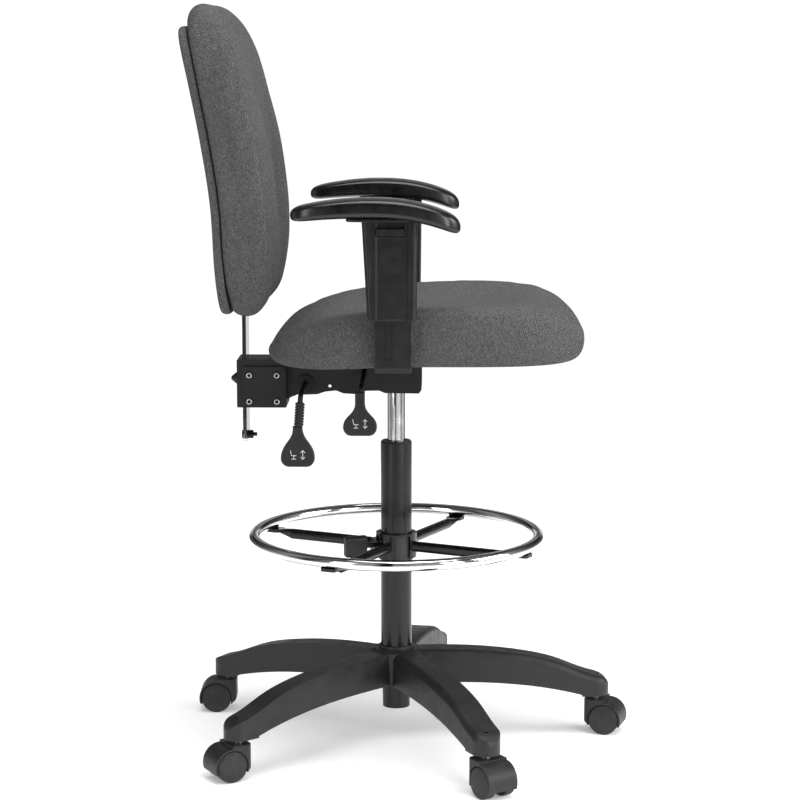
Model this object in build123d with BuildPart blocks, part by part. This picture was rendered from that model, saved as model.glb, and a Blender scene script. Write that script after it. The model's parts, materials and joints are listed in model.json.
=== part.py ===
"""Drafting chair: five-leg base, gas column, footring, seat, adjustable arms and back.

Millimetres. +Z is up, the sitter faces -Y, and the sitter's right hand is on -X.
The origin lies on the floor, on the axis of the gas column.
"""
from build123d import *
import os

os.makedirs("parts", exist_ok=True)

# Base star
LEG_COUNT = 5
LEG_START = -82.6  # polar angle of the first leg
STEM_CIRCLE = 329.0  # radius on which the caster stems stand
LEG_HALF_WIDTH = 21.0
SOCKET_RADIUS = 22.5
SOCKET_BOTTOM = 63.0
LEG_TOP = 148.0
LEG_UNDERSIDE = 95.0
ARCH_RADIUS = 271.0  # the leg has dropped by the two amounts below at this radius
TOP_DROP = 29.4
UNDERSIDE_DROP = 20.4
LEG_SKIN = 7.0
HUB_BOTTOM = 93.0
HUB_TOP = 156.0

# Casters
CASTER_HEADINGS = (-106.8, -48.8, 91.2, 119.2, -145.8)  # trailing direction of each
TRAIL = 20.0
WHEEL_RADIUS = 25.0
WHEEL_INNER = 9.0
WHEEL_OUTER = 26.0
HOOD_RADIUS = 28.6
STEM_RADIUS = 5.5
AXLE_RADIUS = 3.0

# Gas column
COLUMN_RADIUS = 25.0
COLUMN_FOOT_RADIUS = 22.0
COLUMN_WALL = 2.0
COLUMN_BOTTOM = 53.0
COLUMN_TOP = 489.0
TAPER_TOP = 165.0
GAS_RADIUS = 14.0
GAS_BOTTOM = 200.0
GAS_TOP = 620.0
VALVE_PROUD = 8.0  # height of the valve pin above the cylinder
ROD_RADIUS = 5.0
ROD_TOP = 405.0
RUNNING = 0.08  # radial clearance of a turning or sliding fit
SLIDING = 0.4  # clearance of the loose plastic and sheet-metal slides

# Footring
RING_HEIGHT = 336.0
RING_RADIUS = 229.2
RING_TUBE = 9.0
SPOKE_RADIUS = 8.5
SPOKE_HEIGHT = 320.5
SPOKE_START = -25.4
COLLAR_RADIUS = 33.0
COLLAR_BOTTOM = 302.0
COLLAR_TOP = 342.0
KNOB_HEADING = 109.6
KNOB_HEIGHT = 322.0

# Seat
SEAT_UNDERSIDE = 641.0
SEAT_HALF_WIDTH = 240.0
SEAT_FRONT = -300.0
SEAT_REAR = 203.0
BOARD_BOTTOM = SEAT_UNDERSIDE
BOARD_THICKNESS = 12.0
BOARD_WIDTH = 392.0
BOARD_DEPTH = 412.0
BOARD_MIDDLE = -43.0

# Mechanism under the seat
HOUSING_HALF_WIDTH = 48.0
HOUSING_WALL = 3.0
HOUSING_TOP = 637.5
PIVOT_Y = 143.0
PIVOT_Z = 590.0
PIN_RADIUS = 7.0
SHAFT_RADIUS = 4.0
LEVER_X = -165.0
NECK_SLOPE = 0.07  # rearward lean of the back lever's neck
GAS_LEVER_Y = 50.0
GAS_LEVER_Z = 608.0

# Back support
BAR_FRONT = 238.0
BAR_THICKNESS = 6.0
BAR_HALF_WIDTH = 30.0
BAR_BOTTOM = 493.0
BAR_TOP = 800.0
BLOCK_FRONT = 174.0
BLOCK_REAR = 253.0
BLOCK_BOTTOM = 549.0
BLOCK_TOP = 626.0
BLOCK_HALF_WIDTH = 33.0
PLATE_THICKNESS = 4.0
STOP_BOLT_Z = 501.0

# Back cushion: heights and rear-face places of the curved back
BACK_BOTTOM = 693.0
BACK_TOP = 1187.0
BACK_HALF_WIDTH = 215.0
REAR_LINE = [(252, 716), (257, 822), (275, 981), (310, 1147)]

# Arms
ARM_X = 257.0
ARM_Y = -1.0
POST_THICKNESS = 6.0
BRACKET_THICKNESS = 6.0
POST_WIDTH = 54.0
POST_TOP = 800.0
SLEEVE_BOTTOM = 715.0
SLEEVE_TOP = 862.0
SLEEVE_THICKNESS = 24.0
PAD_X = 262.0
PAD_HALF_WIDTH = 38.0


def save(piece, name):
    """Label a finished piece and write it as its own STEP file."""
    piece.label = name
    export_step(piece, f"parts/{name}.step")


def leg_line(radius, height, drop):
    """Height of a leg's arched line: level at the hub and falling with the cube of the radius."""
    return height - drop * (radius / ARCH_RADIUS) ** 3


def column_radius(height):
    """Outer radius of the column tube, which tapers below TAPER_TOP to fit the hub."""
    share = min(1.0, (height - COLUMN_BOTTOM) / (TAPER_TOP - COLUMN_BOTTOM))
    return COLUMN_FOOT_RADIUS + share * (COLUMN_RADIUS - COLUMN_FOOT_RADIUS)


def make_leg():
    """One arched leg along +X with a rounded top, a caster socket and a ribbed hollow underneath."""
    top = [(r, leg_line(r, LEG_TOP, TOP_DROP)) for r in (0, 120, 200, 270, 322)]
    under = [(r, leg_line(r, LEG_UNDERSIDE, UNDERSIDE_DROP)) for r in (305, 250, 180, 100, 0)]
    tip = STEM_CIRCLE + SOCKET_RADIUS
    with BuildPart() as leg:
        with BuildSketch(Plane.XZ):
            with BuildLine():
                Spline(*top, (tip, 76), tangents=[(1, 0), (0, -1)])
                Polyline((tip, 76), (tip, SOCKET_BOTTOM), (305, SOCKET_BOTTOM), under[0])
                Spline(*under)
                Line(under[-1], top[0])
            make_face()
        extrude(amount=SOCKET_RADIUS + 1, both=True)
        with BuildSketch(Plane.XY.offset(SOCKET_BOTTOM)):
            Circle(LEG_HALF_WIDTH)
            with Locations((STEM_CIRCLE, 0)):
                Circle(SOCKET_RADIUS)
            make_hull()
        extrude(amount=LEG_TOP, mode=Mode.INTERSECT)
        crest = leg.faces().sort_by(Axis.Z)[-1]
        fillet(crest.edges().filter_by(lambda e: abs(e.center().Y) > 15), radius=11)
        ribs = (62, 120, 175, 228, 278)
        for start, end in zip(ribs, ribs[1:]):
            inner = start + 2.5
            with BuildSketch(Plane.XZ):
                Polygon(
                    (inner, 60),
                    (end, 60),
                    (end, leg_line(end, LEG_TOP, TOP_DROP) - LEG_SKIN),
                    (inner, leg_line(inner, LEG_TOP, TOP_DROP) - LEG_SKIN),
                    align=None,
                )
            extrude(amount=LEG_HALF_WIDTH - 3.5, both=True, mode=Mode.SUBTRACT)
        with Locations((STEM_CIRCLE, 0, SOCKET_BOTTOM)):
            Cylinder(
                STEM_RADIUS + RUNNING,
                33,
                align=(Align.CENTER, Align.CENTER, Align.MIN),
                mode=Mode.SUBTRACT,
            )
    return leg.part


def make_base_star():
    """Five legs and the hub that grips the column's taper, moulded in one."""
    leg = make_leg()
    with BuildPart() as star:
        with BuildSketch(Plane.XZ):
            with BuildLine():
                Polyline((0, HUB_BOTTOM), (38, HUB_BOTTOM), (42, 148), (36, 151), (28, 151))
                Polyline((28, 151), (27.5, HUB_TOP), (0, HUB_TOP), (0, HUB_BOTTOM))
            make_face()
        revolve(axis=Axis.Z)
        with PolarLocations(0, LEG_COUNT, start_angle=LEG_START):
            add(leg)
        with BuildSketch(Plane.XZ):
            Polygon(
                (0, HUB_BOTTOM - 1),
                (column_radius(HUB_BOTTOM - 1), HUB_BOTTOM - 1),
                (column_radius(HUB_TOP + 1), HUB_TOP + 1),
                (0, HUB_TOP + 1),
                align=None,
            )
        revolve(axis=Axis.Z, mode=Mode.SUBTRACT)
    return star.part


def make_column_tube():
    """Black outer tube with a tapered foot and a floor that carries the thrust bearing."""
    floor = 4.0
    inside = COLUMN_RADIUS - COLUMN_WALL
    foot_inside = COLUMN_FOOT_RADIUS - COLUMN_WALL
    with BuildPart() as tube:
        with BuildSketch(Plane.XZ):
            Polygon(
                (ROD_RADIUS + RUNNING, COLUMN_BOTTOM),
                (COLUMN_FOOT_RADIUS, COLUMN_BOTTOM),
                (COLUMN_RADIUS, TAPER_TOP),
                (COLUMN_RADIUS, COLUMN_TOP),
                (inside, COLUMN_TOP),
                (inside, TAPER_TOP),
                (foot_inside, COLUMN_BOTTOM + floor),
                (ROD_RADIUS + RUNNING, COLUMN_BOTTOM + floor),
                align=None,
            )
        revolve(axis=Axis.Z)
    return tube.part


def make_guide_bush():
    """Nylon sleeve pressed in the tube's mouth, with the bevelled rim that shows on top."""
    outer = COLUMN_RADIUS - COLUMN_WALL
    bore = GAS_RADIUS + RUNNING
    with BuildPart() as bush:
        with BuildSketch(Plane.XZ):
            Polygon(
                (bore, COLUMN_TOP - 90),
                (outer, COLUMN_TOP - 90),
                (outer, COLUMN_TOP),
                (COLUMN_RADIUS, COLUMN_TOP),
                (COLUMN_RADIUS - 2, COLUMN_TOP + 3),
                (bore, COLUMN_TOP + 3),
                align=None,
            )
        revolve(axis=Axis.Z)
    return bush.part


def make_thrust_bearing():
    """Two washers and a ring of eight balls that let the seat turn."""
    floor = COLUMN_BOTTOM + 4
    bore = ROD_RADIUS + RUNNING
    with BuildPart() as bearing:
        for bottom in (floor, floor + 6.5):
            with BuildSketch(Plane.XY.offset(bottom)):
                Circle(12.5)
                Circle(bore, mode=Mode.SUBTRACT)
            extrude(amount=2)
        with PolarLocations(8.8, 8):
            with Locations((0, 0, floor + 4.25)):
                Sphere(2.2)
    return bearing.part


def make_piston_rod():
    """Steel rod with its piston, its shoulder on the bearing and the clip under the column."""
    shoulder = COLUMN_BOTTOM + 12.6
    clip_top = COLUMN_BOTTOM - 0.3
    with BuildPart() as rod:
        with BuildSketch(Plane.XY.offset(clip_top - 2.5)):
            Circle(ROD_RADIUS)
        extrude(amount=ROD_TOP - clip_top + 2.5)
        with BuildSketch(Plane.XY.offset(shoulder)):
            Circle(9)
        extrude(amount=3)
        with BuildSketch(Plane.XY.offset(ROD_TOP - 14)):
            Circle(GAS_RADIUS - 3 - RUNNING)
        extrude(amount=14)
        with BuildSketch(Plane.XY.offset(clip_top - 1.5)):
            Circle(9.5)
        extrude(amount=1.5)
    return rod.part


def make_gas_cylinder():
    """Chromed pressure cylinder, sealed round the rod below and tapered into the mechanism above."""
    bore = GAS_RADIUS - 3
    with BuildPart() as cylinder:
        with BuildSketch(Plane.XZ):
            Polygon(
                (ROD_RADIUS + RUNNING, GAS_BOTTOM),
                (GAS_RADIUS, GAS_BOTTOM),
                (GAS_RADIUS, GAS_TOP - 45),
                (GAS_RADIUS - 1, GAS_TOP),
                (SHAFT_RADIUS + RUNNING, GAS_TOP),
                (SHAFT_RADIUS + RUNNING, GAS_TOP - 29),
                (bore, GAS_TOP - 29),
                (bore, GAS_BOTTOM + 15),
                (ROD_RADIUS + RUNNING, GAS_BOTTOM + 15),
                align=None,
            )
        revolve(axis=Axis.Z)
    return cylinder.part


def make_valve_pin():
    """Push pin in the cylinder's top that releases the gas."""
    with BuildPart() as pin:
        with BuildSketch(Plane.XY.offset(GAS_TOP - 22)):
            Circle(SHAFT_RADIUS)
        extrude(amount=22 + VALVE_PROUD)
    return pin.part


def caster_places():
    """Stem position and heading of each caster, as locations on the floor."""
    step = 360 / LEG_COUNT
    stems = [Vector(STEM_CIRCLE, 0, 0).rotate(Axis.Z, LEG_START + k * step) for k in range(LEG_COUNT)]
    return [Location(stem, (0, 0, heading)) for stem, heading in zip(stems, CASTER_HEADINGS)]


def make_hood():
    """Nylon hood: a web between the wheels, a shell over both treads and the stem's block."""
    with BuildPart() as hood:
        with BuildSketch(Plane.XZ):
            with Locations((TRAIL, WHEEL_RADIUS)):
                Circle(HOOD_RADIUS)
            with BuildLine():
                Polyline((8, 18), (-9, 18))
                RadiusArc((-9, 18), (-14, 25), 8)
                Polyline((-14, 25), (-14, 57), (TRAIL, 57), (TRAIL, 18), (8, 18))
            make_face()
        extrude(amount=WHEEL_OUTER - 0.5, both=True)
        with BuildSketch(Plane.XY):
            with Locations((TRAIL, 0)):
                Rectangle(90, 80)
        extrude(amount=15, mode=Mode.SUBTRACT)
        with BuildSketch(Plane.XY):
            with GridLocations(0, 27, 1, 2):
                with Locations((-2, 0)):
                    Circle(12)
                with Locations((TRAIL + HOOD_RADIUS - 2, 0)):
                    Circle(12)
            make_hull()
        extrude(amount=60, mode=Mode.INTERSECT)
        for side in (-1, 1):
            with BuildSketch(Plane.XZ.offset(-side * WHEEL_INNER)):
                with Locations((TRAIL, WHEEL_RADIUS)):
                    Circle(WHEEL_RADIUS + 0.9)
            extrude(amount=-side * 30, mode=Mode.SUBTRACT)
        with BuildSketch(Plane.XZ):
            with Locations((TRAIL, WHEEL_RADIUS)):
                Circle(AXLE_RADIUS)
        extrude(amount=WHEEL_INNER + 1, both=True, mode=Mode.SUBTRACT)
        with BuildSketch(Plane.XY.offset(30)):
            Circle(STEM_RADIUS)
        extrude(amount=30, mode=Mode.SUBTRACT)
    return hood.part


def make_caster_pins():
    """Steel stem with its collar, and the axle pressed through the hood's web."""
    axle_reach = WHEEL_OUTER - 3
    with BuildPart() as pins:
        with BuildSketch(Plane.XY.offset(30)):
            Circle(STEM_RADIUS)
        extrude(amount=64)
        with BuildSketch(Plane.XY.offset(57)):
            Circle(8.5)
        extrude(amount=5.5)
        chamfer(pins.edges().sort_by(Axis.Z)[-1], length=1.5)
        with BuildSketch(Plane.XZ):
            with Locations((TRAIL, WHEEL_RADIUS)):
                Circle(AXLE_RADIUS)
        extrude(amount=axle_reach, both=True)
    return pins.part


def make_wheel(side):
    """Nylon wheel with a raised outer face, bored from inside for the axle."""
    inner = WHEEL_INNER + 0.5
    rim = WHEEL_OUTER - 2.5
    bore = AXLE_RADIUS + RUNNING
    crown = WHEEL_OUTER + 1.4
    shoulder = (WHEEL_RADIUS - 2.5, WHEEL_OUTER)
    with BuildPart() as wheel:
        with BuildSketch(Plane.XY):
            with BuildLine():
                Polyline((0, rim), (bore, rim), (bore, inner), (WHEEL_RADIUS - 1, inner))
                Polyline((WHEEL_RADIUS - 1, inner), (WHEEL_RADIUS, inner + 1), (WHEEL_RADIUS, rim))
                Polyline((WHEEL_RADIUS, rim), (WHEEL_RADIUS - 0.7, rim + 1.8), shoulder)
                Polyline(shoulder, (12, crown), (0, crown), (0, rim))
            make_face()
        revolve(axis=Axis.Y)
        if side < 0:
            mirror(about=Plane.XZ, mode=Mode.REPLACE)
    return wheel.part


def save_casters():
    """Place and write the five casters."""
    axle = Location((TRAIL, 0, WHEEL_RADIUS))
    hood = make_hood()
    pins = make_caster_pins()
    left = make_wheel(1)
    right = make_wheel(-1)
    for number, place in enumerate(caster_places(), start=1):
        pieces = (
            ("hood", hood, place),
            ("pins", pins, place),
            ("wheel_left", left, place * axle),
            ("wheel_right", right, place * axle),
        )
        for suffix, master, where in pieces:
            with BuildPart() as piece:
                with Locations(where):
                    add(master)
            save(piece.part, f"caster_{number}_{suffix}")


def make_footring():
    """Chromed tube bent into a ring and closed by a weld."""
    with BuildPart() as ring:
        with Locations((0, 0, RING_HEIGHT)):
            Torus(RING_RADIUS, RING_TUBE)
            Torus(RING_RADIUS, RING_TUBE - 1.5, mode=Mode.SUBTRACT)
    return ring.part


def make_spoke():
    """One spoke along +X: a tube from the collar whose end is pressed flat under the ring."""
    tab_top = RING_HEIGHT - RING_TUBE
    tube_end = 192.0
    tab_start = 214.0
    with BuildPart() as spoke:
        with BuildSketch(Plane.YZ.offset(COLLAR_RADIUS - 2)):
            with Locations((0, SPOKE_HEIGHT)):
                Circle(SPOKE_RADIUS)
                Circle(SPOKE_RADIUS - 1.5, mode=Mode.SUBTRACT)
        extrude(amount=tube_end - COLLAR_RADIUS + 2)
        with BuildSketch(Plane.YZ.offset(tube_end)):
            with Locations((0, SPOKE_HEIGHT)):
                Circle(SPOKE_RADIUS)
        with BuildSketch(Plane.YZ.offset(tab_start)):
            with Locations((0, tab_top - 2.5)):
                Ellipse(13, 2.5)
        loft()
        with BuildSketch(Plane.XY.offset(tab_top - 5)):
            with Locations((tab_start + 10, 0)):
                RectangleRounded(24, 26, 5)
        extrude(amount=5)
    return spoke.part


def make_footring_frame():
    """Windowed collar with four spokes and the boss of the clamp knob, welded together."""
    spoke = make_spoke()
    bore = COLLAR_RADIUS - 4.2
    with BuildPart() as frame:
        with BuildSketch(Plane.XY.offset(COLLAR_BOTTOM)):
            Circle(COLLAR_RADIUS)
        extrude(amount=COLLAR_TOP - COLLAR_BOTTOM)
        with PolarLocations(COLLAR_RADIUS, 4, start_angle=SPOKE_START + 45):
            with Locations((0, 0, COLLAR_BOTTOM + 18)):
                Box(20, 27, 37, mode=Mode.SUBTRACT)
        with PolarLocations(0, 4, start_angle=SPOKE_START):
            add(spoke)
        with Locations(Location((0, 0, KNOB_HEIGHT), (0, 0, KNOB_HEADING))):
            with Locations((COLLAR_RADIUS + 1, 0, 0)):
                Box(10, 34, 20)
        with BuildSketch(Plane.XY.offset(COLLAR_BOTTOM - 5)):
            Circle(bore)
        extrude(amount=60, mode=Mode.SUBTRACT)
        knob_axis = Plane((0, 0, KNOB_HEIGHT), x_dir=(0, 0, 1), z_dir=heading_vector(KNOB_HEADING))
        with BuildSketch(knob_axis):
            Circle(SHAFT_RADIUS + RUNNING)
        extrude(amount=COLLAR_RADIUS + 8, mode=Mode.SUBTRACT)
    return frame.part


def heading_vector(angle):
    """Unit vector on the floor plane at a polar angle."""
    return Vector(1, 0, 0).rotate(Axis.Z, angle)


def make_footring_liner():
    """Nylon liner between the collar and the column, which slides on the column."""
    with BuildPart() as liner:
        with BuildSketch(Plane.XY.offset(COLLAR_BOTTOM - 3)):
            Circle(COLLAR_RADIUS - 4.2)
            Circle(COLUMN_RADIUS + 0.4, mode=Mode.SUBTRACT)
        extrude(amount=COLLAR_TOP - COLLAR_BOTTOM + 3)
    return liner.part


def make_footring_knob():
    """Wing knob moulded on the stud that clamps the footring."""
    knob_axis = Plane((0, 0, KNOB_HEIGHT), x_dir=(0, 0, 1), z_dir=heading_vector(KNOB_HEADING))
    with BuildPart() as knob:
        with BuildSketch(knob_axis.offset(COLLAR_RADIUS - 3.9)):
            Circle(SHAFT_RADIUS)
        extrude(amount=25)
        with BuildSketch(knob_axis.offset(52)):
            RectangleRounded(34, 18, 6)
        extrude(amount=35)
        grip_end = knob.faces().sort_by(lambda face: face.center().dot(knob_axis.z_dir))[-1]
        fillet(grip_end.edges(), radius=3)
    return knob.part


def bolt_places():
    """Centres of the board's eight bolts, four on the mechanism and two on each arm bracket."""
    plate = [(x, y) for x in (-75, 75) for y in (-70, 70)]
    arms = [(x, ARM_Y) for x in (-178, -138, 138, 178)]
    return plate + arms


def make_seat_board():
    """Plywood board that carries the seat, drilled for its bolts."""
    with BuildPart() as board:
        with BuildSketch(Plane.XY.offset(BOARD_BOTTOM)):
            with Locations((0, BOARD_MIDDLE)):
                RectangleRounded(BOARD_WIDTH, BOARD_DEPTH, 60)
            with Locations(*bolt_places()):
                Circle(SHAFT_RADIUS, mode=Mode.SUBTRACT)
        extrude(amount=BOARD_THICKNESS)
    return board.part


def make_seat_cushion():
    """Foam seat: waterfall front, lower rounded rear, and a pocket for the board and bolt ends."""
    middle = (SEAT_FRONT + SEAT_REAR) / 2
    rear_top = [(186, SEAT_UNDERSIDE), (201, 654), (188, 676), (153, 705), (90, 728), (-10, 736)]
    front_top = [(-10, 736), (-150, 738), (-225, 735), (-268, 720), (-298, 682), (-283, SEAT_UNDERSIDE)]
    with BuildPart() as cushion:
        with BuildSketch(Plane.YZ):
            with BuildLine():
                Line(front_top[-1], rear_top[0])
                Spline(*rear_top)
                Spline(*front_top)
            make_face()
        extrude(amount=SEAT_HALF_WIDTH, both=True)
        with BuildSketch(Plane.XY.offset(SEAT_UNDERSIDE)):
            with Locations((0, middle)):
                RectangleRounded(2 * SEAT_HALF_WIDTH, SEAT_REAR - SEAT_FRONT, 95)
        extrude(amount=110, mode=Mode.INTERSECT)
        with BuildSketch(Plane.XY.offset(SEAT_UNDERSIDE)):
            with Locations((0, BOARD_MIDDLE)):
                RectangleRounded(BOARD_WIDTH, BOARD_DEPTH, 60)
        extrude(amount=BOARD_THICKNESS, mode=Mode.SUBTRACT)
        with BuildSketch(Plane.XY.offset(SEAT_UNDERSIDE)):
            with Locations(*bolt_places()):
                Circle(SHAFT_RADIUS + 1)
        extrude(amount=18, mode=Mode.SUBTRACT)
    return cushion.part


def make_seat_bolts():
    """Hexagon bolts that hold the mechanism and the arm brackets to the board."""
    with BuildPart() as bolts:
        with Locations(*[(x, y, BOARD_BOTTOM - BRACKET_THICKNESS - 5) for x, y in bolt_places()[4:]]):
            add(make_bolt(5))
        with Locations(*[(x, y, HOUSING_TOP - 5) for x, y in bolt_places()[:4]]):
            add(make_bolt(5))
    return bolts.part


def make_bolt(head):
    """Hexagon bolt standing on its head's lower face."""
    with BuildPart() as bolt:
        with BuildSketch():
            RegularPolygon(7, 6)
        extrude(amount=head)
        with BuildSketch(Plane.XY.offset(head)):
            Circle(SHAFT_RADIUS - RUNNING)
        extrude(amount=17)
    return bolt.part


def make_mechanism_housing():
    """Pressed-steel pan under the seat with its mounting plate, cheeks and tapered gas socket."""
    wall = HOUSING_WALL
    width = HOUSING_HALF_WIDTH
    ceiling = HOUSING_TOP - 1.5
    under = [(-41, 580), (-37, 574.5), (17, 575), (26, 579), (47, 578.6), (64, 573.3), (83, 574.5)]
    arch = [(94, 579), (111, 577.3), (124, 573), (150, 572)]
    with BuildPart() as housing:
        with BuildSketch(Plane.YZ):
            with BuildLine():
                Polyline((160, HOUSING_TOP), (-41, HOUSING_TOP), *under, *arch, (160, 580))
                Line((160, 580), (160, HOUSING_TOP))
            make_face()
        extrude(amount=width, both=True)
        with BuildSketch(Plane.YZ):
            with BuildLine():
                Polyline((161, ceiling), (-38, ceiling), (-38, 560), (161, 560), (161, ceiling))
            make_face()
        extrude(amount=width - wall, both=True, mode=Mode.SUBTRACT)
        with BuildSketch(Plane.XY.offset(HOUSING_TOP)):
            RectangleRounded(190, 190, 12)
            with Locations(*bolt_places()[:4]):
                Circle(SHAFT_RADIUS, mode=Mode.SUBTRACT)
        extrude(amount=BOARD_BOTTOM - HOUSING_TOP)
        with BuildSketch(Plane.XY.offset(576)):
            Circle(20)
        extrude(amount=GAS_TOP - 3 - 576)
        with BuildSketch(Plane.XY.offset(576)):
            Rectangle(2 * width - 2, 10)
        extrude(amount=22)
        with BuildSketch(Plane.XZ):
            Polygon(
                (0, 570),
                (GAS_RADIUS + 0.03, 570),
                (GAS_RADIUS + 0.03, GAS_TOP - 45),
                (GAS_RADIUS - 0.97, GAS_TOP),
                (0, GAS_TOP),
                align=None,
            )
        revolve(axis=Axis.Z, mode=Mode.SUBTRACT)
        with BuildSketch(Plane.YZ):
            with Locations((PIVOT_Y, PIVOT_Z)):
                Circle(PIN_RADIUS)
        extrude(amount=width + 1, both=True, mode=Mode.SUBTRACT)
        with BuildSketch(Plane.YZ.offset(-width - 1)):
            with Locations((GAS_LEVER_Y, GAS_LEVER_Z)):
                RectangleRounded(11, 16, 4)
        extrude(amount=wall + 2, mode=Mode.SUBTRACT)
        with BuildSketch(Plane.YZ):
            with Locations((104, 586)):
                Circle(2.5)
        extrude(amount=width + 1, both=True, mode=Mode.SUBTRACT)
    return housing.part


def make_pivot_pin():
    """Hollow pin across the cheeks, headed at both ends, on which the back arm reclines."""
    reach = HOUSING_HALF_WIDTH + 0.2
    with BuildPart() as pin:
        with BuildSketch(Plane.YZ.offset(-reach)):
            with Locations((PIVOT_Y, PIVOT_Z)):
                Circle(PIN_RADIUS)
        extrude(amount=2 * reach)
        for side in (-1, 1):
            with BuildSketch(Plane.YZ.offset(side * reach)):
                with Locations((PIVOT_Y, PIVOT_Z)):
                    Circle(14)
            extrude(amount=side * 4)
        with BuildSketch(Plane.YZ.offset(-reach - 5)):
            with Locations((PIVOT_Y, PIVOT_Z)):
                Circle(SHAFT_RADIUS + RUNNING)
        extrude(amount=2 * reach + 10, mode=Mode.SUBTRACT)
    return pin.part


def make_recline_spring():
    """Two torsion springs round the pivot pin, each drawn as its closed coil."""
    with BuildPart() as springs:
        for side in (-1, 1):
            with BuildSketch(Plane.YZ.offset(side * 29)):
                with Locations((PIVOT_Y, PIVOT_Z)):
                    Circle(PIN_RADIUS + 4)
                    Circle(PIN_RADIUS + 0.5, mode=Mode.SUBTRACT)
            extrude(amount=side * 15)
    return springs.part


def make_gas_lever():
    """Bent steel rod from the valve out through the near cheek and down into its paddle."""
    rod = 3.5
    over_valve = GAS_TOP + VALVE_PROUD + rod + 0.5
    route = [
        (9, 0, over_valve),
        (-16, 0, over_valve),
        (-34, GAS_LEVER_Y, GAS_LEVER_Z + 4),
        (-60, GAS_LEVER_Y, GAS_LEVER_Z - 2),
        (LEVER_X, GAS_LEVER_Y, GAS_LEVER_Z - 6),
        (LEVER_X, GAS_LEVER_Y, 560),
    ]
    with BuildPart() as lever:
        with BuildLine() as path:
            FilletPolyline(*route, radius=8)
        with BuildSketch(Plane(route[0], z_dir=(-1, 0, 0))):
            Circle(rod)
        sweep(path=path.line)
    return lever.part


def make_back_lever():
    """Steel shaft through the hollow pivot pin that turns down into the back-angle paddle."""
    keeper = HOUSING_HALF_WIDTH + 5
    route = [
        (keeper + 3, PIVOT_Y, PIVOT_Z),
        (LEVER_X, PIVOT_Y, PIVOT_Z),
        (LEVER_X, PIVOT_Y + NECK_SLOPE * 72, PIVOT_Z - 72),
    ]
    with BuildPart() as lever:
        with BuildLine() as path:
            FilletPolyline(*route, radius=8)
        with BuildSketch(Plane(route[0], z_dir=(-1, 0, 0))):
            Circle(SHAFT_RADIUS)
        sweep(path=path.line)
        with BuildSketch(Plane.YZ.offset(keeper)):
            with Locations((PIVOT_Y, PIVOT_Z)):
                Circle(8)
        extrude(amount=2)
    return lever.part


def paddle_frame(y, z):
    """Plane that faces the near side, with its first axis towards the front and its second up."""
    return Plane((LEVER_X, y, z), x_dir=(0, -1, 0), z_dir=(-1, 0, 0))


def make_boot():
    """Ribbed rubber sleeve on the back lever's neck."""
    start = 13.0
    tilt = Plane(
        (LEVER_X, PIVOT_Y + NECK_SLOPE * start, PIVOT_Z - start),
        x_dir=(1, 0, 0),
        z_dir=(0, NECK_SLOPE, -1),
    )
    with BuildPart() as boot:
        with BuildSketch(tilt):
            Circle(6)
        extrude(amount=36)
        for rib in range(8):
            with BuildSketch(tilt.offset(1.5 + 4.4 * rib)):
                Circle(7.4)
            extrude(amount=2.4)
        with BuildSketch(tilt):
            Circle(SHAFT_RADIUS + 0.05)
        extrude(amount=37, mode=Mode.SUBTRACT)
    return boot.part


def make_paddle(y, z, neck, straight, height):
    """Moulded paddle below y, z: a straight neck, then a blade that flares to rounded lower corners."""
    half = 26.0
    corner = 13.0
    blade = height - straight
    with BuildPart() as paddle:
        with BuildSketch(paddle_frame(y, z)):
            with BuildLine():
                Line((-neck, 0), (neck, 0))
                Line((-half + corner, -height), (half - corner, -height))
                for side in (-1, 1):
                    Line((side * neck, 0), (side * neck, -straight))
                    Spline(
                        (side * neck, -straight),
                        (side * 0.66 * half, -straight - 0.4 * blade),
                        (side * half, -height + corner),
                        tangents=[(0, -1), (0, -1)],
                    )
                    ThreePointArc(
                        (side * half, -height + corner),
                        (side * (half - 0.29 * corner), -height + 0.29 * corner),
                        (side * (half - corner), -height),
                    )
            make_face()
        extrude(amount=5, both=True)
        fillet(paddle.faces().sort_by(Axis.X)[0].edges(), radius=2.0)
    return paddle.part


def make_gas_paddle():
    """Seat-height paddle on its plain square neck."""
    with BuildPart() as paddle:
        add(make_paddle(GAS_LEVER_Y + 2, 594, 7.5, 17, 68))
        with BuildSketch(Plane((LEVER_X, GAS_LEVER_Y, 595), z_dir=(0, 0, -1))):
            Circle(3.55)
        extrude(amount=35, mode=Mode.SUBTRACT)
    return paddle.part


def make_back_paddle():
    """Back-angle paddle below the ribbed sleeve."""
    tilt = Plane((LEVER_X, PIVOT_Y, PIVOT_Z), x_dir=(1, 0, 0), z_dir=(0, NECK_SLOPE, -1))
    with BuildPart() as paddle:
        add(make_paddle(PIVOT_Y + 5, PIVOT_Z - 49.6, 7.3, 2, 63))
        with BuildSketch(tilt):
            Circle(SHAFT_RADIUS + 0.05)
        extrude(amount=73, mode=Mode.SUBTRACT)
    return paddle.part


def make_back_arm():
    """Two cheeks on the pivot pin, joined by the plate that carries the bar block."""
    outer = 26.0
    with BuildPart() as arm:
        with BuildSketch(Plane.YZ):
            with BuildLine():
                Polyline((PIVOT_Y, 605), (BLOCK_FRONT, 618), (BLOCK_FRONT, 562), (PIVOT_Y, 575))
                RadiusArc((PIVOT_Y, 575), (PIVOT_Y, 605), 15)
            make_face()
        extrude(amount=outer, both=True)
        with BuildSketch(Plane.YZ):
            with Locations((PIVOT_Y + 2, PIVOT_Z)):
                Rectangle(50, 80)
        extrude(amount=outer - 4, both=True, mode=Mode.SUBTRACT)
        with BuildSketch(Plane.XZ.offset(-BLOCK_FRONT)):
            with Locations((0, PIVOT_Z)):
                Rectangle(2 * outer, 56)
        extrude(amount=4)
        with BuildSketch(Plane.YZ):
            with Locations((PIVOT_Y, PIVOT_Z)):
                Circle(PIN_RADIUS + RUNNING)
        extrude(amount=outer + 1, both=True, mode=Mode.SUBTRACT)
    return arm.part


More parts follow.
